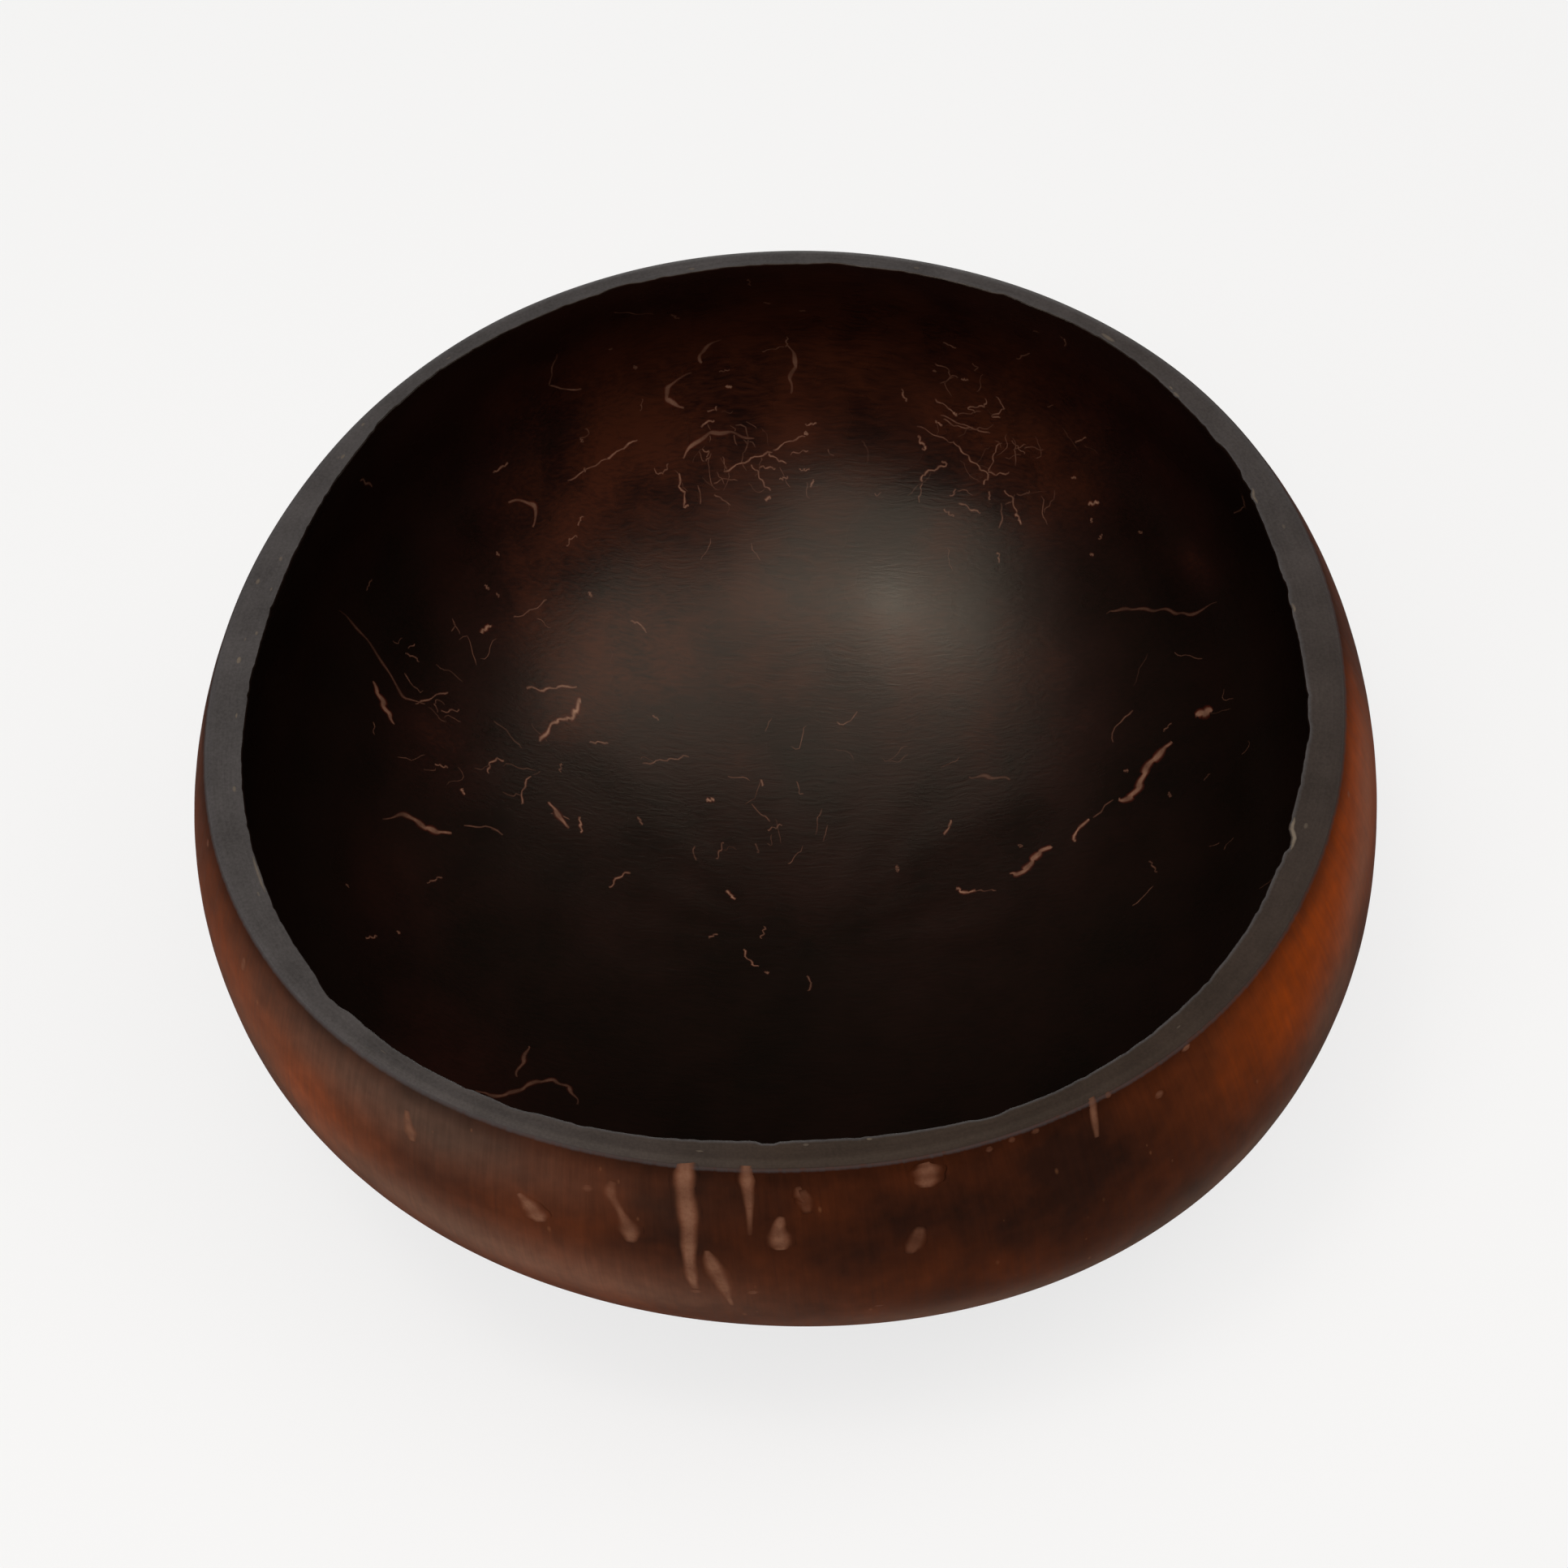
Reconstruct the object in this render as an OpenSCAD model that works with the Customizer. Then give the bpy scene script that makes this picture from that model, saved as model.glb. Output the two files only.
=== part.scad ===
// Bowl made from one half of a coconut shell, sawn level at the rim and sanded flat underneath.
// The origin is the centre of the flat underneath, +Z is up and lengths are in millimetres.
// The wall is one closed loft. Rings of points run up the outside, over the rim and down the
// inside, and every ring is a circle swollen by the gentle ridges that a grown shell has.
// Strands of fibre grow through a coconut shell, and show where sawing and sanding meet them.
// Each one is a body of its own, bedded flush in a groove of the wall.
// A bearing is an angle about the Z axis from +X towards +Y, in degrees. A place on the wall is a
// bearing and a share of the way down it, which is 0 at the rim and 1 at the middle of the floor.

/* [Rim] */
// Mean diameter over the outer edge of the rim
rim_d = 120; // [100:1:140]
// Thickness of the wall at the rim
rim_wall = 3.2; // [2.6:0.1:4.5]
// How much thicker the wall is at its two broad sides than its mean
wall_swing = 0.9; // [0:0.1:1.2]
// Radius of the worn outer edge of the rim
rim_ease_out = 0.8; // [0.3:0.1:1.1]
// Radius of the crisper inner edge of the rim
rim_ease_in = 0.3; // [0.1:0.05:0.8]

/* [Belly] */
// How far the widest part stands out past the rim
belly_bulge = 4.6; // [0:0.2:9]
// Depth of the widest part below the rim
belly_drop = 17.6; // [10:0.2:28]
// Height of the widest part above the flat
belly_h = 37.7; // [26:0.1:50]
// Thickness of the wall at the widest part
belly_wall = 3.3; // [2.6:0.1:4.6]
// Roundness of the underside, where 2 is an ellipse and more is fuller
fullness = 1.95; // [1.7:0.01:2.4]

/* [Base] */
// Diameter of the flat sanded under the bowl
base_flat_d = 42; // [24:1:60]
// Thickness of the floor over the flat
floor_t = 3; // [2:0.1:6]

/* [Grown shape] */
// Height of the oval swelling
oval = 1.2; // [0:0.1:2.5]
// Bearing of the long way of the oval at the rim
oval_at = 52; // [0:1:180]
// How far the oval has turned at the widest part
oval_turn = 19; // [-40:1:40]
// Height of the three ridges of the husk's three sides
lobe = 0.75; // [0:0.05:1.5]
// Bearing of the first of the three ridges
lobe_at = -35; // [-60:1:60]
// Height of the four slight corners
corner = 0.5; // [0:0.05:1]
// Bearing of the first corner
corner_at = 38; // [0:1:90]
// How far the rim is shifted sideways from the flat
lean = 3; // [0:0.1:6]
// Bearing towards which the rim is shifted
lean_at = 180; // [0:1:359]

/* [Fibre strands] */
// Width of the broadest strand, which is cut along its length under the front rim
streak_w = 2; // [1.4:0.1:2.6]
// Width of the fine curled strands on the inside
curl_w = 0.7; // [0.5:0.05:1]
// Width of the short fleck on the inside
fleck_w = 1.1; // [0.8:0.05:1.6]
// Depth of a strand in the wall
strand_depth = 0.6; // [0.4:0.05:0.9]
// Gap between a strand and the groove that holds it
strand_gap = 0.06; // [0.04:0.01:0.1]

/* [Hidden] */

rim_r = rim_d / 2;
bowl_h = belly_h + belly_drop;
belly_r = rim_r + belly_bulge;
inside_r = belly_r - belly_wall;
inside_h = belly_h - floor_t;
// The underside is a rounded cap cut off by the flat, so its own height is a little more
flat_share = base_flat_d / 2 / belly_r;
cap_h = belly_h / pow(1 - pow(flat_share, fullness), 1 / fullness);
cap_end = asin(pow(belly_h / cap_h, fullness / 2));
heart = [lean * cos(lean_at), lean * sin(lean_at), bowl_h];

// Share of the way down the wall at which it is widest
upper_share = 0.22;
// Places where the wall is thicker or thinner at the rim: a bearing and a half width in degrees, and
// the change as a share of the wall at the rim
rim_swell_shares = [
    [12, 15, 0.27], [52, 11, -0.15], [95, 18, 0.09], [137, 15, -0.25], [178, 18, 0.12],
    [228, 14, -0.18], [271, 14, 0.27], [341, 9, 0.11]
];
// Share of the way down the wall over which they fade
rim_swell_reach = 0.1;
// Faces around the bowl, and rings down each side of the wall
around = 84;
rings = 19;
// Steps round each eased edge of the rim
ease_steps = 3;
// Steps along a strand between two of its places, and round the bed of a strand
span_steps = 3;
bed_steps = 4;
// Steps over the rim's edge, as shares of a step along the strand
edge_step_shares = [0.1, 0.3];
// Width that a strand on the inside keeps at its tips
tip_share = 0.4;
// How far a groove's cutter stands out of the wall
overrun = 0.6;

OUTER = "outer";
INNER = "inner";

shell_colour = "#4a3328";
streak_colour = "#a5734f";
curl_colour = "#8a6a50";

// Places that each outside strand passes through: a bearing, a share of the way down the wall and
// a share of the full width. One that starts at the share 0 was cut through by the saw.
front_long_shares = [
    [261.2, 0, 0.8], [261, 0.03, 1], [261.2, 0.08, 1], [261, 0.13, 0.65], [261, 0.18, 0.5],
    [261.2, 0.205, 0.3]
];
front_short_shares = [[266.8, 0, 0.5], [266.8, 0.02, 0.65], [266.8, 0.05, 0.4], [266.6, 0.095, 0.2]];
front_low_shares = [
    [262.6, 0.125, 0.25], [263, 0.15, 0.8], [263.6, 0.185, 0.75], [264, 0.22, 0.35], [264.2, 0.25, 0.2]
];
front_left_shares = [
    [254.4, 0.038, 0.35], [254.2, 0.055, 0.55], [255, 0.078, 0.35], [255.8, 0.108, 0.9], [255.8, 0.128, 0.4]
];
right_rim_shares = [[300.4, 0, 0.35], [300, 0.02, 0.4], [299.6, 0.05, 0.25]];
fleck_front_shares = [[269.6, 0.066, 0.3], [269.2, 0.085, 0.7], [269.2, 0.105, 1], [269.2, 0.118, 0.5]];
fleck_front_left_shares = [
    [245.6, 0.092, 0.25], [246.4, 0.103, 0.7], [247.2, 0.118, 1], [247.6, 0.13, 0.6]
];
fleck_front_right_shares = [
    [283.4, 0.012, 0.6], [283.4, 0.02, 1.1], [283.2, 0.034, 1.1], [283, 0.044, 0.6]
];
fleck_left_shares = [[234.2, 0.04, 0.25], [234.4, 0.055, 0.45], [234.8, 0.07, 0.65], [235, 0.082, 0.3]];

// Places that each inside strand passes through, where the width narrows by itself at both tips
fleck_inside_right_shares = [[24.8, 0.507], [24.2, 0.495], [23.6, 0.483]];
left_long_shares = [[153.8, 0.291], [152.9, 0.35], [153.2, 0.42], [154.4, 0.47], [152.8, 0.503]];
left_short_shares = [[156.2, 0.419], [157, 0.44], [157.8, 0.458], [158.5, 0.477]];
left_low_shares = [[172, 0.515], [169.6, 0.543], [169.9, 0.565], [169.8, 0.582], [168.8, 0.603]];
front_hook_shares = [
    [215.8, 0.601], [217.6, 0.617], [218, 0.643], [217.6, 0.67], [218.6, 0.69], [221.6, 0.699],
    [225.2, 0.693]
];
front_shares = [[210, 0.69], [212.6, 0.675], [215.4, 0.655]];
floor_bar_shares = [[47, 0.76], [43, 0.745], [39, 0.73]];
floor_left_shares = [[153, 0.692], [154.4, 0.708], [155.8, 0.724]];
right_low_shares = [[17.2, 0.781], [16.2, 0.768], [17.8, 0.756], [19.4, 0.744], [19.3, 0.729]];
right_long_shares = [
    [21.2, 0.643], [20.4, 0.629], [21.4, 0.612], [23.2, 0.596], [23.8, 0.575], [24.2, 0.553]
];
right_high_shares = [
    [45.5, 0.517], [43.8, 0.498], [41, 0.476], [38, 0.451], [35.5, 0.432], [33.2, 0.382]
];
back_hook_shares = [[101.6, 0.285], [104.4, 0.305], [104.6, 0.33], [103, 0.35]];
back_shares = [[98, 0.22], [100.2, 0.245], [100.4, 0.27]];
back_right_shares = [[90.8, 0.249], [90.1, 0.285], [90.8, 0.314], [90.8, 0.344]];
back_low_shares = [[104.4, 0.425], [101.4, 0.4], [98.6, 0.4], [95.6, 0.415]];
back_left_shares = [[126.6, 0.38], [123.8, 0.405], [125, 0.435]];

function unit(v) = v / norm(v);

// Swelling of a ring: an oval, three ridges and four corners, as a length at the rim
function swell(bearing, share) =
    let (turn = oval_turn * min(share / upper_share, 1))
    oval * cos(2 * (bearing - oval_at - turn))
    + lobe * cos(3 * (bearing - lobe_at))
    + corner * cos(4 * (bearing - corner_at));

// Degrees from one bearing to another, the short way round
function turn_to(bearing, at) = (bearing - at + 540) % 360 - 180;

// How much thicker the wall is at a place because of the swells at its rim
function rim_swell(bearing, share) =
    rim_wall * exp(-pow(share / rim_swell_reach, 2))
    * [for (s = rim_swell_shares) s[2]]
    * [for (s = rim_swell_shares) exp(-pow(turn_to(bearing, s[0]) / s[1], 2))];

// Radius and height of the wall at a share: a parabola above the belly, a rounded cap below it
function profile(share, side_r, bulge, side_h, end_angle) =
    let (
        up = min(share / upper_share, 1),
        angle = end_angle * max(share - upper_share, 0) / (1 - upper_share)
    )
    share < upper_share
        ? [side_r - bulge * pow(1 - up, 2), bowl_h - belly_drop * up]
        : [side_r * pow(cos(angle), 2 / fullness), belly_h - side_h * pow(sin(angle), 2 / fullness)];

// Place on one face of the wall
function face_point(face, bearing, share) =
    let (
        p = face == OUTER
            ? profile(share, belly_r, belly_bulge, cap_h, cap_end)
            : profile(share, inside_r, belly_bulge + rim_wall - belly_wall, inside_h, 90),
        swing = wall_swing * cos(2 * bearing) * p[0] / inside_r,
        thicker = face == OUTER ? 0 : swing + rim_swell(bearing, share),
        r = p[0] * (1 + swell(bearing, share) / rim_r) - thicker,
        shift = lean * pow(p[1] / bowl_h, 2)
    )
    [r * cos(bearing) + shift * cos(lean_at), r * sin(bearing) + shift * sin(lean_at), p[1]];

// Direction from a face into the wall: towards the middle of the rim from outside, and away from
// it from inside
function inward(face, p) = (face == OUTER ? 1 : -1) * unit(heart - p);

// How far the round edge of the rim lies inside the sharp corner that the faces would meet in
function eased(face, share) =
    let (
        radius = face == OUTER ? rim_ease_out : rim_ease_in,
        drop = min(belly_drop * share / upper_share, radius)
    )
    radius - sqrt(pow(radius, 2) - pow(radius - drop, 2));

// Place in the wall at a depth below one of its faces
function wall_point(face, bearing, share, depth = 0) =
    let (p = face_point(face, bearing, share))
    p + (depth + eased(face, share)) * inward(face, p);

// Shares of the rings round the eased edge of the rim, and then down one face to the floor
function ease_shares(face) =
    let (radius = face == OUTER ? rim_ease_out : rim_ease_in)
    [for (i = [0 : ease_steps]) upper_share * radius * (1 - cos(90 * i / ease_steps)) / belly_drop];
function face_shares(face, last) =
    let (shares = ease_shares(face), from = shares[ease_steps])
    concat(shares, [for (i = [1 : last]) from + (1 - from) * i / rings]);

function reversed(list) = [for (i = [len(list) - 1 : -1 : 0]) list[i]];

// All rings of the wall in order: up the outside, over the rim and down the inside
shell_rings = concat(
    [for (share = reversed(face_shares(OUTER, rings))) [OUTER, share]],
    [for (share = face_shares(INNER, rings - 1)) [INNER, share]]
);

// Closed wall: the rings joined by triangles, with a fan under the base and one on the floor
module wall() {
    last = len(shell_rings) - 1;
    points = concat(
        [for (ring = shell_rings, i = [0 : around - 1]) wall_point(ring[0], 360 * i / around, ring[1])],
        [[0, 0, 0], wall_point(INNER, 0, 1)]
    );
    base_middle = len(points) - 2;
    floor_middle = len(points) - 1;
    sides = [
        for (k = [0 : last - 1], i = [0 : around - 1])
            let (j = (i + 1) % around, a = k * around, b = a + around)
            each [[a + i, b + i, b + j], [a + i, b + j, a + j]]
    ];
    base = [for (i = [0 : around - 1]) [base_middle, i, (i + 1) % around]];
    floor_fan = [
        for (i = [0 : around - 1])
            [floor_middle, last * around + (i + 1) % around, last * around + i]
    ];
    polyhedron(points, concat(sides, base, floor_fan));
}

// Place along a smooth route through some places, where t counts the places passed
function along(places, t) =
    let (
        last = len(places) - 1,
        i = min(floor(t), last - 1),
        f = t - i,
        a = places[max(i - 1, 0)],
        b = places[i],
        c = places[i + 1],
        d = places[min(i + 2, last)]
    )
    (2 * b + (c - a) * f + (2 * a - 5 * b + 4 * c - d) * f * f + (3 * b - a - 3 * c + d) * f * f * f) / 2;

// Places of an inside strand with its width: full along it and narrow at the two tips
function tapered(places) = [
    for (i = [0 : len(places) - 1])
        [places[i][0], places[i][1], i == 0 || i == len(places) - 1 ? tip_share : 1]
];

// Steps along a strand, counted in places. One that the saw cut has more steps over the rim's edge.
function strand_steps(places) =
    let (steps = [for (i = [1 : (len(places) - 1) * span_steps]) i / span_steps])
    concat([0], places[0][1] == 0 ? edge_step_shares / span_steps : [], steps);

// Strand in the wall: a half-round bed swept along its route, level with the face of the wall.
// The room is added all round and the rise lifts its top out of the wall, to cut the groove.
module strand(face, places, width, room = 0, rise = 0) {
    last = len(places) - 1;
    steps = strand_steps(places);
    rows = len(steps) - 1;
    ring_size = bed_steps + 1 + (rise > 0 ? 2 : 0);
    points = [
        for (i = [0 : rows])
            let (
                at = along(places, steps[i]),
                ahead = along(places, min(steps[i] + 1 / span_steps, last)),
                behind = along(places, max(steps[i] - 1 / span_steps, 0)),
                run = unit(wall_point(face, ahead[0], ahead[1]) - wall_point(face, behind[0], behind[1])),
                // The cutter also runs on past both tips
                slip = i == 0 ? -room : i == rows ? room : 0,
                p = wall_point(face, at[0], at[1]) + slip * run,
                down = inward(face, p),
                slope = cross(run, down),
                // Round the eased edge, a strand levels out to meet the sawn rim
                level = min(belly_drop * at[1] / upper_share / rim_ease_out, 1),
                side = unit([slope[0], slope[1], level * slope[2]]),
                half = width / 2 * at[2] + room,
                depth = strand_depth * min(at[2], 1) + room
            )
            each concat(
                [
                    for (j = [0 : bed_steps])
                        let (angle = 180 * j / bed_steps)
                        p + half * cos(angle) * side + depth * sin(angle) * down
                ],
                rise > 0 ? [p - half * side - rise * down, p + half * side - rise * down] : []
            )
    ];
    sides = [
        for (i = [0 : rows - 1], j = [0 : ring_size - 1])
            let (k = (j + 1) % ring_size, a = i * ring_size, b = a + ring_size)
            each [[a + j, a + k, b + k], [a + j, b + k, b + j]]
    ];
    start = [for (j = [ring_size - 1 : -1 : 0]) j];
    end = [for (j = [0 : ring_size - 1]) rows * ring_size + j];
    polyhedron(points, concat(sides, [start, end]));
}

module outside_strand(places) { color(streak_colour) strand(OUTER, places, streak_w); }
module inside_strand(places, width = curl_w) { color(curl_colour) strand(INNER, tapered(places), width); }
module outside_groove(places) { strand(OUTER, places, streak_w, room = strand_gap, rise = overrun); }
module inside_groove(places, width = curl_w) {
    strand(INNER, tapered(places), width, room = strand_gap, rise = overrun);
}

module shell() {
    color(shell_colour)
        difference() {
            wall();
            outside_groove(front_long_shares);
            outside_groove(front_short_shares);
            outside_groove(front_low_shares);
            outside_groove(front_left_shares);
            outside_groove(right_rim_shares);
            outside_groove(fleck_front_shares);
            outside_groove(fleck_front_left_shares);
            outside_groove(fleck_front_right_shares);
            outside_groove(fleck_left_shares);
            inside_groove(fleck_inside_right_shares, fleck_w);
            inside_groove(left_long_shares);
            inside_groove(left_short_shares);
            inside_groove(left_low_shares);
            inside_groove(front_hook_shares);
            inside_groove(front_shares);
            inside_groove(floor_bar_shares);
            inside_groove(floor_left_shares);
            inside_groove(right_low_shares);
            inside_groove(right_long_shares);
            inside_groove(right_high_shares);
            inside_groove(back_hook_shares);
            inside_groove(back_shares);
            inside_groove(back_right_shares);
            inside_groove(back_low_shares);
            inside_groove(back_left_shares);
        }
}

module streak_front_long() { outside_strand(front_long_shares); }
module streak_front_short() { outside_strand(front_short_shares); }
module streak_front_low() { outside_strand(front_low_shares); }
module streak_front_left() { outside_strand(front_left_shares); }
module streak_right_rim() { outside_strand(right_rim_shares); }
module fleck_front() { outside_strand(fleck_front_shares); }
module fleck_front_left() { outside_strand(fleck_front_left_shares); }
module fleck_front_right() { outside_strand(fleck_front_right_shares); }
module fleck_left() { outside_strand(fleck_left_shares); }
module fleck_inside_right() { inside_strand(fleck_inside_right_shares, fleck_w); }
module curl_left_long() { inside_strand(left_long_shares); }
module curl_left_short() { inside_strand(left_short_shares); }
module curl_left_low() { inside_strand(left_low_shares); }
module curl_front_hook() { inside_strand(front_hook_shares); }
module curl_front() { inside_strand(front_shares); }
module curl_floor_bar() { inside_strand(floor_bar_shares); }
module curl_floor_left() { inside_strand(floor_left_shares); }
module curl_right_low() { inside_strand(right_low_shares); }
module curl_right_long() { inside_strand(right_long_shares); }
module curl_right_high() { inside_strand(right_high_shares); }
module curl_back_hook() { inside_strand(back_hook_shares); }
module curl_back() { inside_strand(back_shares); }
module curl_back_right() { inside_strand(back_right_shares); }
module curl_back_low() { inside_strand(back_low_shares); }
module curl_back_left() { inside_strand(back_left_shares); }

shell();
streak_front_long();
streak_front_short();
streak_front_low();
streak_front_left();
streak_right_rim();
fleck_front();
fleck_front_left();
fleck_front_right();
fleck_left();
fleck_inside_right();
curl_left_long();
curl_left_short();
curl_left_low();
curl_front_hook();
curl_front();
curl_floor_bar();
curl_floor_left();
curl_right_low();
curl_right_long();
curl_right_high();
curl_back_hook();
curl_back();
curl_back_right();
curl_back_low();
curl_back_left();
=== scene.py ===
# %% [markdown]
# # A bowl made from half a coconut shell
# Between the husk and the white flesh of a coconut lies a hard, dark shell, 3 to 4 mm thick.
# A bowl maker saws it level, scrapes and sands both faces, flattens the underside and rubs in oil.
# Nothing is added, so all that the eye enjoys is what grew there: an uneven round, a wall that
# varies in thickness, red-brown clouds in near-black, and pale strands of fibre.
#
# The lesson builds the bowl in the same steps: the frame, the shape of the wall, its surface,
# the strands that show in it, and at last the light and the camera.

# %% Load the frame
import math

import bpy
import numpy as np
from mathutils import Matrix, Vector


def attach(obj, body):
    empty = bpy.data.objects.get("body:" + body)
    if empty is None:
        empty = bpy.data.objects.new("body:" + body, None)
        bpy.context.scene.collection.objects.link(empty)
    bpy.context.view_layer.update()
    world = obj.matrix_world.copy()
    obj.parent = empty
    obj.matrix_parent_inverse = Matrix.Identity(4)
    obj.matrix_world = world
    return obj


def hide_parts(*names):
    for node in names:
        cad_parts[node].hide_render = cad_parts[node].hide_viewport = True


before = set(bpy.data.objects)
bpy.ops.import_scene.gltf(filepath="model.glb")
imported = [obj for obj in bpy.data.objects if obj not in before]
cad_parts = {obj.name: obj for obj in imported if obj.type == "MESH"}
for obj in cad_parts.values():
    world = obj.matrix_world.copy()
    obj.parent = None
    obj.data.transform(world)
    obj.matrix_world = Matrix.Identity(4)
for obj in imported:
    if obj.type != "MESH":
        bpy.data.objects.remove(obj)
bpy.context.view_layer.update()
MM = 0.001

# %% [markdown]
# ## The sizes of the bowl
# The driving sizes are those of the CAD model: a rim of 120 mm, a belly that stands out 4.6 mm
# past it, and a flat underneath to stand on. Everything below is worked out from them, so the
# smooth wall that is drawn here lies on the faceted one that it replaces.

# %% Sizes of the wall
RIM_R = 60 * MM
RIM_WALL = 3.2 * MM
WALL_SWING = 0.9 * MM
RIM_EASE_OUT = 0.8 * MM
RIM_EASE_IN = 0.3 * MM
BELLY_BULGE = 4.6 * MM
BELLY_DROP = 17.6 * MM
BELLY_H = 37.7 * MM
BELLY_WALL = 3.3 * MM
FULLNESS = 1.95
BASE_FLAT_R = 21 * MM
FLOOR_T = 3 * MM
OVAL, OVAL_AT, OVAL_TURN = 1.2 * MM, 52, 19
LOBE, LOBE_AT = 0.75 * MM, -35
CORNER, CORNER_AT = 0.5 * MM, 38
LEAN, LEAN_AT = 3 * MM, 180
UPPER_SHARE = 0.22
# Places where the wall is thicker or thinner at the rim: bearing and half width in degrees, and
# the change as a share of the wall
RIM_SWELLS = [
    (12, 15, 0.27), (52, 11, -0.15), (95, 18, 0.09), (137, 15, -0.25), (178, 18, 0.12),
    (228, 14, -0.18), (271, 14, 0.27), (341, 9, 0.11),
]
RIM_SWELL_REACH = 0.1

BOWL_H = BELLY_H + BELLY_DROP
BELLY_R = RIM_R + BELLY_BULGE
INSIDE_R = BELLY_R - BELLY_WALL
INSIDE_H = BELLY_H - FLOOR_T
CAP_H = BELLY_H / (1 - (BASE_FLAT_R / BELLY_R) ** FULLNESS) ** (1 / FULLNESS)
CAP_END = math.degrees(math.asin((BELLY_H / CAP_H) ** (FULLNESS / 2)))
HEART = np.array([
    LEAN * math.cos(math.radians(LEAN_AT)),
    LEAN * math.sin(math.radians(LEAN_AT)),
    BOWL_H,
])
print("height of the bowl in mm:", round(BOWL_H / MM, 1))

# %% [markdown]
# ## The shape of the wall
# A place on the wall is a bearing round the bowl, in degrees, and a share of the way down, from
# 0 at the rim to 1 at the middle of the floor. Both faces follow one profile: a parabola from the
# rim to the belly, and below it a rounded cap. Each ring is a circle swollen by a slight oval, by
# the three ridges of a coconut's three sides and by four faint corners.

# %% Functions for the wall
def cosd(angle):
    """Cosine of an angle in degrees."""
    return np.cos(np.radians(angle))


def sind(angle):
    """Sine of an angle in degrees."""
    return np.sin(np.radians(angle))


def swell(bearing, share):
    """Swelling of a ring: an oval that turns on the way down, three ridges and four corners."""
    turn = OVAL_TURN * np.minimum(share / UPPER_SHARE, 1)
    return (
        OVAL * cosd(2 * (bearing - OVAL_AT - turn))
        + LOBE * cosd(3 * (bearing - LOBE_AT))
        + CORNER * cosd(4 * (bearing - CORNER_AT))
    )


def turn_to(bearing, at):
    """Degrees from one bearing to another, the short way round."""
    return (bearing - at + 540) % 360 - 180


def rim_swell(bearing, share):
    """How much thicker the wall is near the rim: bells round it, which fade on the way down."""
    bells = sum(rise * np.exp(-(turn_to(bearing, at) / half) ** 2) for at, half, rise in RIM_SWELLS)
    return RIM_WALL * np.exp(-(share / RIM_SWELL_REACH) ** 2) * bells


print("swelling of the rim's ring in mm:", np.round(swell(np.arange(0, 360, 60), 0) / MM, 2))

# %% The two faces
def profile(share, side_r, bulge, side_h, end_angle):
    """Radius and height: a parabola down to the belly, then a superellipse of one fullness."""
    up = np.clip(share / UPPER_SHARE, 0, 1)
    angle = end_angle * np.clip((share - UPPER_SHARE) / (1 - UPPER_SHARE), 0, 1)
    above = share < UPPER_SHARE
    radius = np.where(
        above, side_r - bulge * (1 - up) ** 2, side_r * np.maximum(cosd(angle), 0) ** (2 / FULLNESS)
    )
    cap = BELLY_H - side_h * sind(angle) ** (2 / FULLNESS)
    height = np.where(above, BOWL_H - BELLY_DROP * up, cap)
    return radius, height


def face_point(face, bearing, share):
    """Place on the outer or inner face: the profile, swollen, and shifted by the bowl's lean."""
    if face == "outer":
        radius, height = profile(share, BELLY_R, BELLY_BULGE, CAP_H, CAP_END)
        thicker = 0
    else:
        radius, height = profile(share, INSIDE_R, BELLY_BULGE + RIM_WALL - BELLY_WALL, INSIDE_H, 90)
        thicker = WALL_SWING * cosd(2 * bearing) * radius / INSIDE_R + rim_swell(bearing, share)
    reach = radius * (1 + swell(bearing, share) / RIM_R) - thicker
    shift = LEAN * (height / BOWL_H) ** 2
    x = reach * cosd(bearing) + shift * cosd(LEAN_AT)
    y = reach * sind(bearing) + shift * sind(LEAN_AT)
    return np.stack([x, y, height + 0 * bearing], axis=-1)


def inward(face, point):
    """Direction from a face into the wall: towards the middle of the rim, or away from it."""
    way = HEART - point
    way = way / np.linalg.norm(way, axis=-1, keepdims=True)
    return way if face == "outer" else -way


def eased(face, share):
    """How far the round edge of the rim lies inside the sharp corner of the faces."""
    radius = RIM_EASE_OUT if face == "outer" else RIM_EASE_IN
    drop = np.minimum(BELLY_DROP * share / UPPER_SHARE, radius)
    return radius - np.sqrt(radius ** 2 - (radius - drop) ** 2)


# %% [markdown]
# ## What growth, saw and sandpaper leave
# A formula alone looks like plastic. A real shell has slow waves a finger wide, which break up a
# highlight, and its sawn inner edge is nicked where the brittle shell chipped. Waves are sums of
# sines with whole numbers of turns, so they close round the bowl. The larger nicks are at the
# places where the photograph shows them. The CAD wall is made of flat facets, which cut a little
# off its curves, so the smooth wall is set in by as much to stay within it.

# %% Functions for unevenness
rng = np.random.default_rng(12)
WAVES = 14
WAVE_TURNS = rng.integers(2, 19, WAVES)
WAVE_RISES = rng.uniform(1, 9, WAVES)
WAVE_PHASES = rng.uniform(0, 360, (WAVES, 2))
# What the sum of the waves seldom passes
WAVE_SUM = 5
WAVE_OUTSIDE = 0.035 * MM
WAVE_INSIDE = 0.06 * MM
FACET_CUT = 0.05 * MM
# The waves fade out over the last sixth of the way down, so the base stays flat
BASE_FADE = 6
# Nicks in the inner edge of the rim: bearing, half width in degrees and depth in mm
NICKS = [
    (337.4, 1.6, 0.5), (334.8, 0.8, 0.25), (268.7, 1.0, 0.3), (221.9, 2.4, 0.4), (108.4, 2.2, 0.3),
    (30.5, 2.8, 0.35), (26.5, 1.2, 0.25), (352.0, 1.6, 0.22), (12.0, 1.2, 0.22), (244.0, 1.8, 0.2),
    (291.0, 1.4, 0.22), (141.0, 2.0, 0.2), (64.0, 1.7, 0.18), (84.0, 2.4, 0.18), (180.5, 1.6, 0.15),
]
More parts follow.
